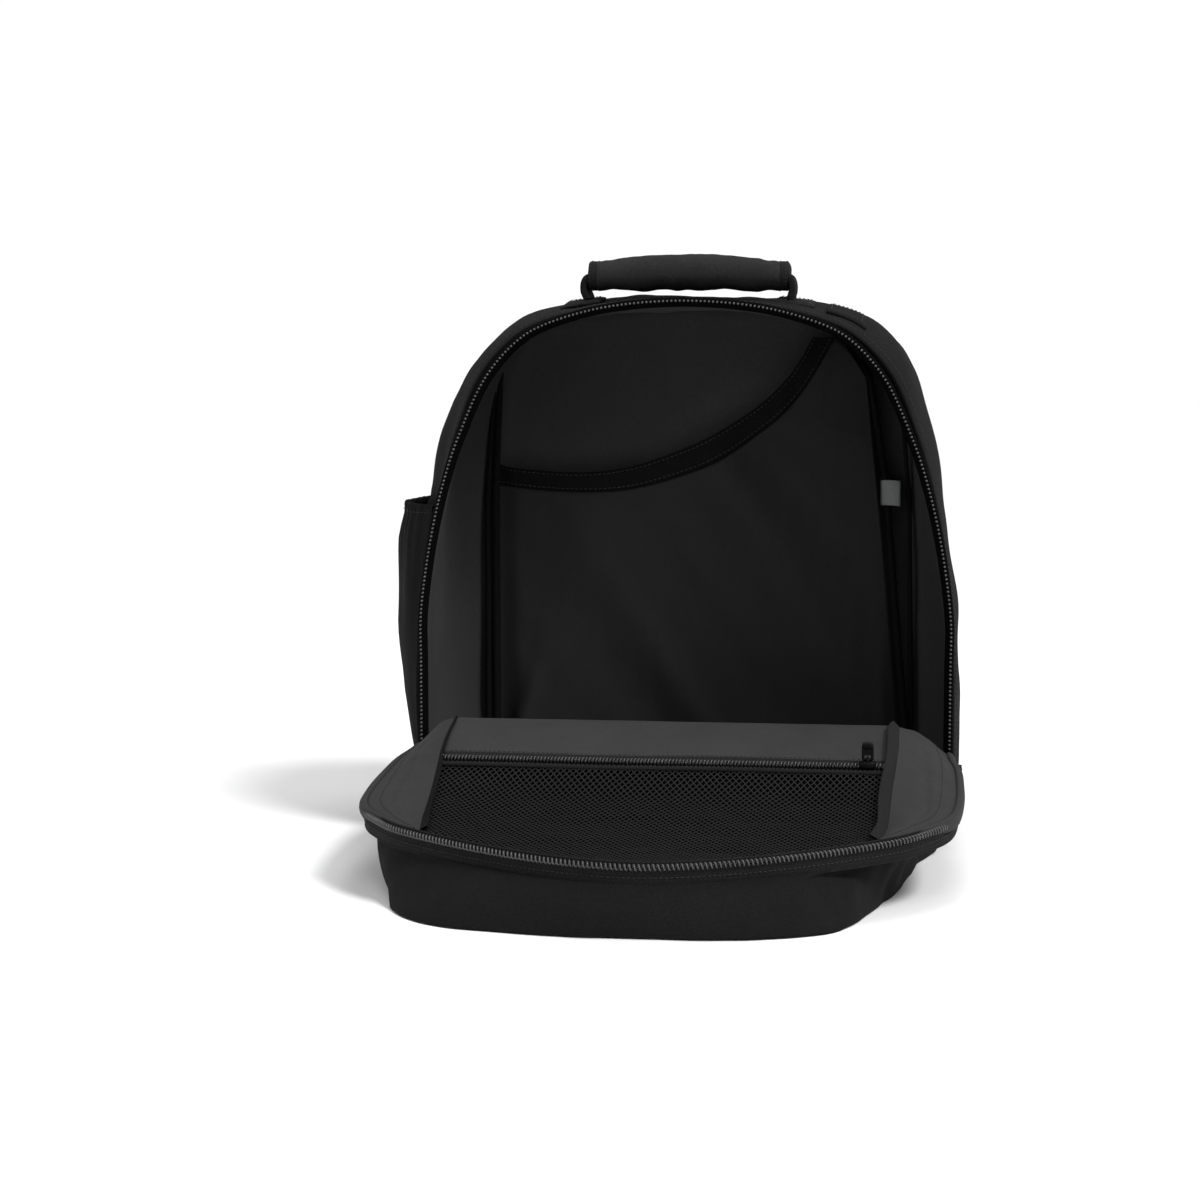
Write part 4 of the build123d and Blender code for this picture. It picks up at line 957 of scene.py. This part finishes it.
# ================================================================ GRAB HANDLE
HZ0 = float(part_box("handle_grip")[0].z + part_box("handle_grip")[1].z) * 500
HY = 50.0
HX = -5.4
gx = np.linspace(-52.0, 60.0, 90)
P = []
for i, x in enumerate(gx):
    u = (x - 4.0) / 56.0
    rz = 11.0 - 1.9 * abs(u) ** 2.4 - 0.5 * np.exp(-((abs(u) - 0.86) / 0.07) ** 2)
    ry = 15.6 - 1.6 * abs(u) ** 2
    zc = HZ0 - 1.9 - 2.6 * abs(u) ** 2
    a = np.linspace(0, 2 * math.pi, 48, endpoint=False)
    ca, sa = np.cos(a), np.sin(a)
    yy = ry * np.sign(ca) * np.abs(ca) ** 0.82
    zz = rz * np.sign(sa) * np.abs(sa) ** 0.9
    low = np.clip(-sa, 0, 1)
    zz = zz + low * (0.9 * np.sin(x / 3.6 + 1.6 * np.sin(x / 11.0)) * np.exp(-((abs(u) - 0.55) / 0.4) ** 2) - 0.9 * np.exp(-(yy / 2.2) ** 2))
    zz = zz + 1.0 * low + 0.3 * fabric_noise(np.full(48, x), yy, zz, 91, 0.4)
    P.append(np.c_[np.full(48, x + HX), HY + yy, zc + zz])
P = np.array(P)
n0 = len(P)
verts = P.reshape(-1, 3)
f = grid_faces(n0, 48, close_v=True) + [tuple(range(48))[::-1], tuple((n0 - 1) * 48 + k_ for k_ in range(48))]
# grip cover in the lighter grip weave: painted light on the top of the bag
grip = mesh_obj("grip_cover", verts, f, M_GRIP_LIT, body="handle", slot="outer_fabric")
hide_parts("handle_grip")
stitches("grip_seam_stitch", np.c_[gx[4:-4] + HX, np.full(len(gx) - 8, HY - 5.0), np.full(len(gx) - 8, HZ0 - 10.8)], (0, -0.4, -1), M_THREAD, pitch=3, length=2, r=0.25, body="handle", slot="binding")
for k_, (x0, x1) in enumerate(((-57.5 + HX, -50.0 + HX), (58.0 + HX, 65.5 + HX))):
    P = []
    for v in np.linspace(0, 1, 12):
        x = lerp(x0, x1, v)
        g = 0.55 * math.sin(math.pi * v) ** 0.5
        ry, rz = 13.0 + g, 8.5 + g
        if v in (0.0, 1.0):
            ry -= 0.8; rz -= 0.8
        a = np.linspace(0, 2 * math.pi, 48, endpoint=False)
        P.append(np.c_[np.full(48, x) + 0.35 * np.sin(a * 3), HY + ry * np.sign(np.cos(a)) * np.abs(np.cos(a)) ** 0.82, HZ0 - 4.2 + rz * np.sin(a)])
    P = np.array(P)
    f = grid_faces(12, 48, close_v=True) + [tuple(range(48))[::-1], tuple(11 * 48 + q for q in range(48))]
    e = mesh_obj("grip_binding_%d" % k_, P.reshape(-1, 3), f, M_GBIND, body="handle", slot="binding")
    if k_ == 0:
        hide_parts("handle_end_bindings")
    for xx in (lerp(x0, x1, 0.22), lerp(x0, x1, 0.78)):
        a = np.linspace(0, 2 * math.pi, 60)
        pth = np.c_[np.full(60, xx), HY + 13.6 * np.sign(np.cos(a)) * np.abs(np.cos(a)) ** 0.82, HZ0 - 4.2 + 9.1 * np.sin(a)]
        stitches("grip_binding_stitch_%d_%d" % (k_, int(xx)), pth, np.c_[np.zeros(60), np.cos(a), np.sin(a)], M_THREAD, pitch=2.6, length=1.7, r=0.22, body="handle", slot="binding")
for k_, (x0, s) in enumerate(((-57.5 + HX, -1), (65.5 + HX, 1))):
    run = catmull([(x0 - s * 4, HZ0 - 4.4), (x0 - s * 0.4, HZ0 - 4.8), (x0 + s * 1.6, HZ0 - 6.6), (x0 + s * 2.4, HZ0 - 10.0), (x0 + s * 2.2, HZ0 - 13.5), (x0 + s * 1.6, 330.4), (x0 + s * 1.0, 328.6), (x0 + s * 0.6, 327.4)], 36)
    P = []
    for v in np.linspace(0, 1, 36):
        p = run[int(round(v * 35))]
        hw = lerp(12.4, 11.8, v)
        y = np.linspace(-hw, hw, 14)
        P.append(np.c_[np.full(14, p[0]) + 0.35 * np.sin(y / 3 + 4 * v), HY + y, np.full(14, p[1])])
    wb = grid_obj("handle_strap_%d" % k_, P, M_WEB, slot="webbing")
    solid(wb, 3.8, 0)
    if k_ == 0:
        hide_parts("handle_webbing")
    bake(wb)
    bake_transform(wb)


# stitched patches on the top gusset
def top_patch(name, x0, x1, y0, y1, lift, mat, cad=None, cross=True):
    n, m = 18, 18
    P = []
    for v in np.linspace(0, 1, n):
        y = lerp(y0, y1, v)
        ol = outline(y, 1200)
        topside = ol[(ol[:, 1] > 250)]
        o_ = np.argsort(topside[:, 0])
        x = np.linspace(x0, x1, m)
        z = np.interp(x, topside[o_, 0], topside[o_, 1]) + lift
        e = np.minimum.reduce([smooth(np.full(m, v / 0.08)), smooth(np.full(m, (1 - v) / 0.08)), smooth((x - x0) / (x1 - x0) / 0.08), smooth((x1 - x) / (x1 - x0) / 0.08)])
        P.append(np.c_[x, np.full(m, y), z - 1.0 + e])
    P = np.array(P)
    o = grid_obj(name, P, mat, body="pack_body", slot="outer_fabric")
    solid(o, 1.4, -1)
    if cad:
        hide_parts(cad)
    q = P[..., :]
    i0, i1 = 2, n - 3
    loop = [q[i0, i0], q[i0, i1], q[i1, i1], q[i1, i0], q[i0, i0]]
    loop = np.vstack([even(q[i0, i0:i1 + 1], 12), even(q[i0:i1 + 1, i1], 12), even(q[i1, i0:i1 + 1][::-1], 12), even(q[i0:i1 + 1, i0][::-1], 12)])
    stitches(name + "_stitch", loop + [0, 0, 0.25], (0, 0, 1), M_THREAD, pitch=2.6, length=1.7, r=0.24, body="pack_body", slot="binding")
    if cross:
        dg = np.array([q[k_, k_] for k_ in range(i0, i1 + 1)]); dg2 = np.array([q[k_, n - 1 - k_] for k_ in range(i0, i1 + 1)])
        stitches(name + "_cross_a", dg + [0, 0, 0.25], (0, 0, 1), M_THREAD, pitch=2.6, length=1.7, r=0.24, body="pack_body", slot="binding")
        stitches(name + "_cross_b", dg2 + [0, 0, 0.3], (0, 0, 1), M_THREAD, pitch=2.6, length=1.7, r=0.24, body="pack_body", slot="binding")
    return o


top_patch("handle_patch_left", -79, -55, 32, 68, 1.5, M_WEB, "handle_anchor_patches")
top_patch("handle_patch_right", 52, 76, 32, 68, 1.5, M_WEB)
top_patch("top_corner_tab", 84, 108, 22, 50, 3.0, M_OUT, "top_tab", cross=False)

# ================================================================ SLIDERS
MX, MY, MZ = 116.0, -103.4, 65.6
a = np.linspace(0, 2 * math.pi, 28, endpoint=False)
P = []
for v in np.linspace(0, math.pi, 12):
    rr_ = max(0.02, math.sin(v)) ** 0.45
    zz_ = 2.4 * math.copysign(abs(math.cos(v)) ** 0.6, math.cos(v))
    P.append(np.c_[MX + 5.0 * rr_ * np.sign(np.cos(a)) * np.abs(np.cos(a)) ** 0.7, MY + 3.6 * rr_ * np.sign(np.sin(a)) * np.abs(np.sin(a)) ** 0.7, np.full(28, MZ + 0.3 + zz_)])
f = grid_faces(12, 28, close_v=True) + [tuple(range(28))[::-1], tuple(11 * 28 + q for q in range(28))]
sl_ = mesh_obj("mesh_slider_shell", np.array(P).reshape(-1, 3), f, M_SLIDER, body="mesh_slider", slot="slider_metal")
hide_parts("mesh_slider")
tube("mesh_slider_bridge", np.array([(MX, MY - 2.6, MZ + 2.0), (MX, MY - 2.0, MZ + 3.8), (MX, MY, MZ + 4.5), (MX, MY + 2.0, MZ + 3.8), (MX, MY + 2.6, MZ + 2.0)]), 0.75, M_SLIDER, seg=8, up=(1, 0, 0), body="mesh_slider", slot="slider_metal")
pz = 69.0
ringp = []
for cx_, cz_, a0 in ((1.7, 7.6, 0), (-1.7, 7.6, 90), (-1.7, 0.9, 180), (1.7, 0.9, 270)):
    for q in np.radians(np.linspace(a0, a0 + 90, 7)):
        ringp.append((MX + cx_ + 0.9 * math.cos(q), MY, pz + cz_ + 0.9 * math.sin(q)))
ringp.append(ringp[0])
pl_ = tube("mesh_pull_ring", even(ringp, 60)[:-1], 0.85, M_SLIDER, seg=10, closed=True, up=(0, 1, 0), body="mesh_pull", slot="slider_metal")
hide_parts("mesh_pull")
P = [np.c_[np.linspace(MX - 2.4, MX + 2.4, 6), np.full(6, MY), np.full(6, z)] for z in np.linspace(pz + 2.4, pz + 8.0, 6)]
pw = grid_obj("mesh_pull_web", P, M_SLIDER, body="mesh_pull", slot="slider_metal")
solid(pw, 0.8, 0)
P = []
for v in np.linspace(0, 1, 8):
    z = pz + 6.2 + 3.6 * v
    hw = 3.1 * (1 - 0.18 * (2 * v - 1) ** 4); hd = 1.35 * (1 - 0.3 * (2 * v - 1) ** 4)
    P.append(np.c_[MX + hw * np.sign(np.cos(a)) * np.abs(np.cos(a)) ** 0.5, MY + hd * np.sign(np.sin(a)) * np.abs(np.sin(a)) ** 0.5, np.full(28, z)])
f = grid_faces(8, 28, close_v=True) + [tuple(range(28))[::-1], tuple(7 * 28 + q for q in range(28))]
mesh_obj("mesh_pull_tip", np.array(P).reshape(-1, 3), f, M_SLIDER, body="mesh_pull", slot="slider_metal")

for nm in ("main_slider_left", "main_slider_right", "main_pull_left", "main_pull_right", "zip_end_stops"):
    o = N[nm]
    o.data.materials.clear()
    o.data.materials.append(M_SLIDER)
    bv = o.modifiers.new("edge", "BEVEL")
    bv.width = 0.00035
    bv.segments = 2
    bv.limit_method = "ANGLE"
    bv.angle_limit = math.radians(40)
for nm in ("ladder_lock_left", "ladder_lock_right"):
    o = N[nm]
    o.data.materials.clear()
    o.data.materials.append(M_BUCKLE)
    bv = o.modifiers.new("edge", "BEVEL")
    bv.width = 0.0009
    bv.segments = 3
    bv.limit_method = "ANGLE"
    bv.angle_limit = math.radians(40)

# ================================================================ SIDE POCKET
PK = catmull([(-165.0, 18), (-170.5, 26), (-178, 36), (-183.2, 52), (-184, 74), (-178.5, 94), (-168, 109), (-157, 119), (-150, 124)], 110)
pt = tangents(PK); pn = np.c_[pt[:, 1], -pt[:, 0]]
if (pn[50, 0]) > 0:
    pn = -pn
tt = np.linspace(0, 1, 110)
gy, gz = np.linspace(16, 126, 12), np.linspace(5, 212, 40)
GW = np.zeros((12, 40))
for i_, y_ in enumerate(gy):
    ol = outline(y_, 1400)
    ol = ol[ol[:, 0] > 60]; ol = ol[np.argsort(ol[:, 1])]
    GW[i_] = np.interp(gz, ol[:, 1], ol[:, 0])


def gusset_x(y, z):
    """Half width of the gusset's outside at depth y and height z."""
    cz = np.array([np.interp(z, gz, GW[i_]) for i_ in range(12)])
    return np.interp(y, gy, cz)


P = []
for z in np.r_[9.0, 10.5, 14, 20, np.linspace(30, 186, 22), 191, 195, 199.5]:
    v = (z - 9) / 192.0
    q = PK.copy()
    bul = -2.2 + 2.6 * math.sin(math.pi * min(1, v * 0.98 + 0.03)) - (7.0 * (1 - smooth((z - 9) / 9)))
    gather = 0.75 * np.sin(tt * 118.0 + 1.2 * np.sin(tt * 19)) * smooth((v - 0.72) / 0.25) + 1.3 * np.sin(tt * 31.0 + 1.0 + 2 * np.sin(v * 3)) * smooth((v - 0.35) / 0.5) * 0.8
    bul -= float(np.interp(z, [9, 28, 43, 65, 85, 104, 125], [13.0, 11.0, 9.2, 5.2, 3.2, 1.6, 0]))
    pull_in = -3.6 * smooth((v - 0.86) / 0.14)
    off = (bul + gather + pull_in) * np.sin(np.pi * np.clip(tt, 0.0, 1)) ** 0.4
    off += 0.9 * fabric_noise(q[:, 0], q[:, 1], np.full(110, z), 101, 1.3) * np.sin(np.pi * tt)
    hw = np.interp(z, [9, 70, 112, 201], [0, 0, 0.5, 3.0])
    x = q[:, 0] + pn[:, 0] * off
    ends = (1 - np.sin(np.pi * tt)) ** 3
    yq = q[:, 1] + pn[:, 1] * off
    wall = -(gusset_x(q[:, 1], z) + 1.3) + foot_in(np.full(110, -150.0), q[:, 1], z)
    xq = lerp(x, wall, smooth((ends - 0.18) / 0.5))
    xq = np.minimum(xq, wall)
    P.append(np.c_[xq, yq, np.full(110, z)])
P = np.array(P)
pocket = grid_obj("side_pocket_cloth", P, M_OUT, flip=True, body="pack_body", slot="outer_fabric")
solid(pocket, 1.3, 1)
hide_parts("side_pocket_panel")
topc = P[-1]
hem = []
for dz, o in ((-5.0, 0.9), (-1.0, 1.6), (1.0, 1.3), (2.1, 0.0), (1.0, -1.3), (-1.0, -1.5), (-5.0, -0.9)):
    g = 0.5 * np.sin(tt * 260.0)
    hem.append(np.c_[topc[:, 0] + pn[:, 0] * (o + g * (1 if o > 0 else -1)), topc[:, 1] + pn[:, 1] * (o + g * (1 if o > 0 else -1)), topc[:, 2] + dz + 0.3 * g])
hemo = grid_obj("side_pocket_elastic", np.array(hem).transpose(1, 0, 2), M_OUT, close_v=True, flip=True, body="pack_body", slot="binding")
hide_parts("side_pocket_hem")
stitches("side_pocket_stitch", np.c_[topc[:, 0] + pn[:, 0] * 2.1, topc[:, 1] + pn[:, 1] * 2.1, topc[:, 2] - 3.2], np.c_[pn, np.zeros(110)], M_THREAD, pitch=2.6, length=1.6, r=0.22, body="pack_body", slot="binding")
for nm, q in (("side_pocket_bind_front", P[2:, 3]), ("side_pocket_bind_back", P[2:, -4])):
    tube(nm, even(q, 60) - [0.6, 0, 0], 1.3, M_BIND, seg=8, up=(0, 1, 0), body="pack_body", slot="binding")

# ================================================================ BACK PANEL
YB = 137.2
P = []
base = ring(136.0, 3.2)
base[:, 2] = np.maximum(base[:, 2], 4.5)
nx, nz = 150, 190
X, Z = np.meshgrid(np.linspace(-1, 1, nx), np.linspace(0, 1, nz))
ol = outline(136.0, 1600, 2.6)
hr = ol[: 800]
zz_ = 5 + Z * 315.0
hw_ = np.interp(zz_, np.r_[hr[:, 1]], np.r_[hr[:, 0]])
Xr = X * hw_


def pad(x0, x1, z0, z1, r, h, x, z):
    """Pillow of height h over a rounded rectangle."""
    cx_, cz_ = (x0 + x1) / 2, (z0 + z1) / 2
    qx = np.abs(x - cx_) - (x1 - x0) / 2 + r
    qz = np.abs(z - cz_) - (z1 - z0) / 2 + r
    dd = np.hypot(np.maximum(qx, 0), np.maximum(qz, 0)) + np.minimum(np.maximum(qx, qz), 0) - r
    return h * smooth(np.clip(-dd / 11.0, 0, 1)) ** 0.8


Y = np.full_like(Xr, YB + 0.8)
H = np.zeros_like(Xr)
for (x0, x1, z0, z1, r, h) in ((-112, -20, 178, 276, 18, 7.0), (20, 112, 178, 276, 18, 7.0), (-112, -20, 66, 164, 18, 7.0), (20, 112, 66, 164, 18, 7.0), (-100, 100, 22, 54, 12, 6.0)):
    H = np.maximum(H, pad(x0, x1, z0, z1, r, h, Xr, zz_))
Y = Y + H + 0.5 * fabric_noise(Xr, zz_, Xr * 0, 111, 0.9)
edge_ = smooth((1 - np.abs(X)) / 0.05) * smooth((1 - Z) / 0.03) * smooth(Z / 0.02)
Y = lerp(np.full_like(Y, YB - 0.4), Y, edge_)
P = np.stack([Xr, Y, zz_], -1)
backp = grid_obj("back_padding", P, M_SPACER, body="pack_body", slot="spacer_mesh", flip=False)
solid(backp, 2.0, 0)
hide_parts("back_panel")
for k_, (x0, x1, z0, z1, r) in enumerate(((-112, -20, 178, 276, 18), (20, 112, 178, 276, 18), (-112, -20, 66, 164, 18), (20, 112, 66, 164, 18), (-100, 100, 22, 54, 12))):
    pts = []
    for (cx_, cz_, a0) in ((x1 - r, z1 - r, 0), (x0 + r, z1 - r, 90), (x0 + r, z0 + r, 180), (x1 - r, z0 + r, 270)):
        for a in np.radians(np.linspace(a0, a0 + 90, 8)):
            pts.append((cx_ + (r + 1.2) * math.cos(a), YB + 1.4, cz_ + (r + 1.2) * math.sin(a)))
    pts.append(pts[0])
    stitches("back_pad_stitch_%d" % k_, even(pts, 160), (0, 1, 0), M_THREAD, pitch=3.2, length=2.2, r=0.26, body="pack_body", slot="binding")

# yoke and lower anchors
P = []
for v in np.linspace(0, 1, 16):
    z = lerp(283, 317, v)
    hw = np.interp(z, [283, 287, 293, 310, 314, 317], [58, 66, 70, 76, 75, 70])
    x = np.linspace(-hw, hw, 70)
    yy = YB + 3.4 + 0.5 * fabric_noise(x, np.full(70, z), x * 0, 121, 1.0) - 1.4 * (1 - smooth((hw - np.abs(x)) / 5)) - 1.4 * (1 - smooth(v / 0.1)) - 1.4 * (1 - smooth((1 - v) / 0.1))
    P.append(np.c_[x, yy, np.full(70, z)])
P = np.array(P)
yoke = grid_obj("yoke_cloth", P, M_OUT, body="pack_body", slot="outer_fabric")
solid(yoke, 2.0, -1)
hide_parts("strap_yoke")
for k_ in (1, 14):
    stitches("yoke_stitch_%d" % k_, P[k_] + [0, 1.3, 0], (0, 1, 0), M_THREAD, pitch=3.2, length=2.2, r=0.26, body="pack_body", slot="binding")
for side, tag in ((-1, "left"), (1, "right")):
    P = []
    for v in np.linspace(0, 1, 12):
        z = lerp(8.5, 27, v)
        x0, x1 = lerp(100, 112, v), lerp(133.5, 128, v)
        x = np.linspace(x0, x1, 16)
        P.append(np.c_[side * x, np.full(16, 141.8) + 0.3 * np.sin(x / 3), np.full(16, z)])
    an = grid_obj("strap_wing_" + tag, P, M_OUT, body="pack_body", slot="outer_fabric", flip=side < 0)
    solid(an, 2.2, 0)
    if side < 0:
        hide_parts("strap_bottom_anchors")
    stitches("strap_wing_stitch_" + tag, np.array([P[3][1:-1]]).reshape(-1, 3) + [0, 1.3, 0], (0, 1, 0), M_THREAD, pitch=2.8, length=1.9, r=0.25, body="pack_body", slot="binding")

# ================================================================ SHOULDER STRAPS
PAD = [(30, 163), (65, 174), (110, 180), (155, 178), (190, 170), (212, 162)]
DX, DZ = 77.0, -277.0
DN = math.hypot(DX, DZ)


def strap_pt(side, s, n, y):
    """Strap coordinates to the frame: s along the strap, n across it, y away from the back."""
    d = np.array([DX * side / DN, 0, DZ / DN]); nn = np.array([-DZ / DN, 0, DX * side / DN])
    o = np.array([45.0 * side, 0, 303.0])
    s, n, y = np.broadcast_arrays(np.asarray(s, float), np.asarray(n, float), np.asarray(y, float))
    return o + s[..., None] * d + n[..., None] * nn + y[..., None] * np.array([0, 1, 0])


prun = even(catmull(PAD, 200), 90)
for side, tag in ((-1, "left"), (1, "right")):
    rows = []
    for i, (s, y) in enumerate(prun):
        v = i / 89.0
        hw = np.interp(v, [0, 0.03, 0.1, 0.5, 0.8, 0.93, 0.98, 1], [20, 25, 28.5, 28.0, 24.0, 19.0, 15.5, 12.0])
        curve = -side * 6.0 * math.sin(math.pi * v)
        th = 10.0 * (smooth(v / 0.05) * 0.75 + 0.25) * (smooth((1 - v) / 0.06) * 0.7 + 0.3)
        a = np.linspace(0, 2 * math.pi, 40, endpoint=False)
        ca, sa = np.cos(a), np.sin(a)
        nloc = hw * np.sign(ca) * np.abs(ca) ** 0.55
        crown = (1 - (np.abs(nloc) / hw) ** 4 * 0.35)
        yl = 5 + 0.5 * th * np.sign(sa) * np.abs(sa) ** 0.6 * crown
        groove = np.exp(-((np.abs(nloc) - (hw - 5.5)) / 1.3) ** 2)
        yl -= 0.9 * groove * np.sign(sa)
        nz = 0.35 * fabric_noise(np.full(40, s), nloc, yl, 131 + side, 0.7)
        rows.append(strap_pt(side, np.full(40, s), nloc + curve, y + yl + nz))
    P = np.array(rows)
    f = grid_faces(90, 40, close_v=True, flip=side > 0)
    f += [tuple(range(40)), tuple(89 * 40 + k_ for k_ in range(40))[::-1]]
    pado = mesh_obj("strap_pad_" + tag, P.reshape(-1, 3), f, M_SPACER, body="strap_" + tag, slot="spacer_mesh")
    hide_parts("shoulder_strap_" + tag)
    # binding round the pad's edge
    hwv = np.interp(np.linspace(0, 1, 90), [0, 0.03, 0.1, 0.5, 0.8, 0.93, 0.98, 1], [20, 25, 28.5, 28.0, 24.0, 19.0, 15.5, 12.0])
    cur = -side * 6.0 * np.sin(np.pi * np.linspace(0, 1, 90))
    e1 = strap_pt(side, prun[:, 0], cur + hwv + 0.2, prun[:, 1] + 5)
    e2 = strap_pt(side, prun[:, 0], cur - hwv - 0.2, prun[:, 1] + 5)
    loop = np.vstack([e1, e2[::-1]])
    bnd = tube("strap_binding_" + tag, loop, 1.9, M_BIND, seg=8, closed=True, up=(0, 1, 0), body="strap_" + tag, slot="binding")
    for q_, off in (("a", hwv - 4.2), ("b", -(hwv - 4.2))):
        stitches("strap_stitch_%s_%s" % (tag, q_), strap_pt(side, prun[4:-4, 0], (cur + off)[4:-4], prun[4:-4, 1] + 9.6), (0, 1, 0), M_THREAD, pitch=3.2, length=2.2, r=0.26, body="strap_" + tag, slot="binding")
    # webbing sewn along the outside of the pad, with a daisy-chain bar tack rhythm
    k0, k1 = 34, 89
    P = []
    for n_ in np.linspace(-10.0, 10.0, 9):
        P.append(strap_pt(side, prun[k0:k1, 0], cur[k0:k1] * 1.0 + n_, prun[k0:k1, 1] + 10.9 + 0.35 * np.sin(prun[k0:k1, 0] / 9.0)))
    wb = grid_obj("strap_face_webbing_" + tag, P, M_WEB, body="strap_" + tag, slot="webbing", flip=side > 0)
    solid(wb, 1.6, 0)
    for s_ in (120, 150, 180):
        j = int(np.argmin(np.abs(prun[:, 0] - s_)))
        pth = strap_pt(side, np.full(14, prun[j, 0]), cur[j] + np.linspace(-8.5, 8.5, 14), prun[j, 1] + 12.1)
        stitches("strap_bartack_%s_%d" % (tag, s_), pth, (0, 1, 0), M_THREAD, pitch=1.1, length=1.0, r=0.5, body="strap_" + tag, slot="binding")
    # top link to the yoke, lower webbing to the anchor
    topl = catmull([(6, 146.4), (14, 150.8), (23, 158.4), (33, 167.5)], 20)
    P = [strap_pt(side, topl[:, 0], np.full(20, n_), topl[:, 1]) for n_ in np.linspace(-19, 19, 9)]
    tl = grid_obj("strap_top_link_" + tag, P, M_OUT, body="strap_" + tag, slot="outer_fabric", flip=side > 0)
    solid(tl, 2.4, 0)
    lw = catmull([(216, 166.5), (222, 162.3), (228, 163.8), (236, 160.5), (255, 156.2), (275, 151.4), (287, 147.4)], 50)
    P = [strap_pt(side, lw[:, 0], np.full(50, n_), lw[:, 1] + 0.3 * math.sin(n_)) for n_ in np.linspace(-12, 12, 9)]
    lo_ = grid_obj("strap_low_webbing_" + tag, P, M_WEB, body="strap_" + tag, slot="webbing", flip=side > 0)
    solid(lo_, 1.5, 0)
    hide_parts("strap_webbing_" + tag)
    tlp = catmull([(224, 170), (240, 170.2), (262, 170.6), (284, 170.2), (295, 169.8)], 50)
    tlp = np.vstack([tlp, [(296.4, 170.6), (296.0, 172.2), (292, 172.4), (284, 172.2)]])
    P = [strap_pt(side, tlp[:, 0], np.full(len(tlp), n_), tlp[:, 1]) for n_ in np.linspace(-11.8, 11.8, 9)]
    ta = grid_obj("strap_tail_webbing_" + tag, P, M_WEB, body="tail_" + tag, slot="webbing", flip=side > 0)
    solid(ta, 1.4, 0)
    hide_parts("strap_tail_" + tag)

# ================================================================ STAGE
bpy.ops.mesh.primitive_plane_add(size=14, location=(0, 0, 0))
floor = bpy.context.object
floor.name = "floor"
m, nt, b = nodes_of("floor_white")
tc = nt.nodes.new("ShaderNodeTexCoord"); nz_ = nt.nodes.new("ShaderNodeTexNoise"); nz_.inputs["Scale"].default_value = 3.0
nt.links.new(tc.outputs["Object"], nz_.inputs["Vector"])
rp_ = nt.nodes.new("ShaderNodeMapRange"); rp_.inputs["To Min"].default_value = 0.965; rp_.inputs["To Max"].default_value = 0.975
nt.links.new(nz_.outputs["Fac"], rp_.inputs["Value"])
nt.links.new(rp_.outputs[0], b.inputs["Base Color"])
b.inputs["Roughness"].default_value = 0.9
b.inputs["Specular IOR Level"].default_value = 0.1
floor.data.materials.append(m)

sc = bpy.context.scene
world = bpy.data.worlds.new("world")
sc.world = world
world.use_nodes = True
bg = world.node_tree.nodes["Background"]
bg.inputs["Color"].default_value = (1.0, 1.0, 1.0, 1)
bg.inputs["Strength"].default_value = 0.50
wn = world.node_tree
bgc = wn.nodes.new("ShaderNodeBackground"); bgc.inputs["Color"].default_value = (1, 1, 1, 1); bgc.inputs["Strength"].default_value = 1.03
lp = wn.nodes.new("ShaderNodeLightPath"); mxw = wn.nodes.new("ShaderNodeMixShader")
wn.links.new(lp.outputs["Is Camera Ray"], mxw.inputs[0]); wn.links.new(bg.outputs[0], mxw.inputs[1]); wn.links.new(bgc.outputs[0], mxw.inputs[2])
wn.links.new(mxw.outputs[0], wn.nodes["World Output"].inputs["Surface"])


def area(name, loc, target, size, energy):
    l = bpy.data.lights.new(name, "AREA")
    l.size = size
    l.energy = energy
    o = bpy.data.objects.new(name, l)
    sc.collection.objects.link(o)
    o.location = loc
    o.rotation_euler = (Vector(target) - Vector(loc)).to_track_quat("-Z", "Y").to_euler()
    return o


area("fill_left", (-1.5, -1.9, 1.2), (0, -0.05, 0.12), 1.2, 6)
area("front_top", (0.3, -2.3, 2.2), (0, -0.1, 0.1), 1.0, 12)
sun = bpy.data.lights.new("sun_soft", "SUN"); sun.energy = 2.2; sun.angle = math.radians(15)
suno = bpy.data.objects.new("sun_soft", sun); sc.collection.objects.link(suno)
suno.rotation_euler = (Vector((0, 0, 0)) - Vector((1.05, -0.62, 1.5))).to_track_quat("-Z", "Y").to_euler()


def spot(name, loc, target, size, energy, radius=0.08, soft=1.0):
    l = bpy.data.lights.new(name, "SPOT")
    l.energy = energy; l.spot_size = math.radians(size); l.spot_blend = soft; l.shadow_soft_size = radius
    o = bpy.data.objects.new(name, l)
    sc.collection.objects.link(o)
    o.location = loc
    o.rotation_euler = (Vector(target) - Vector(loc)).to_track_quat("-Z", "Y").to_euler()
    return o


area("overhead", (0.18, 0.22, 1.5), (0, 0.05, 0.25), 0.6, 5)
spot("inner_wall_light", (0.80, -1.05, 0.42), (-0.150, 0.060, 0.085), 13, 42)
spot("inner_back_light", (-0.95, -1.25, 0.75), (0.05, 0.11, 0.16), 17, 12)

cam = bpy.data.cameras.new("camera")
cam.lens = 2988.0 / 1200.0 * 36.0
cam.sensor_width = 36.0
camo = bpy.data.objects.new("camera", cam)
sc.collection.objects.link(camo)
camo.location = (0.1782, -1.7845, 0.345)
fw = Vector((-0.1263, 0.9859, -0.1097))
camo.rotation_euler = fw.to_track_quat("-Z", "Y").to_euler()
sc.camera = camo
sc.view_settings.view_transform = "Standard"
sc.view_settings.look = "None"
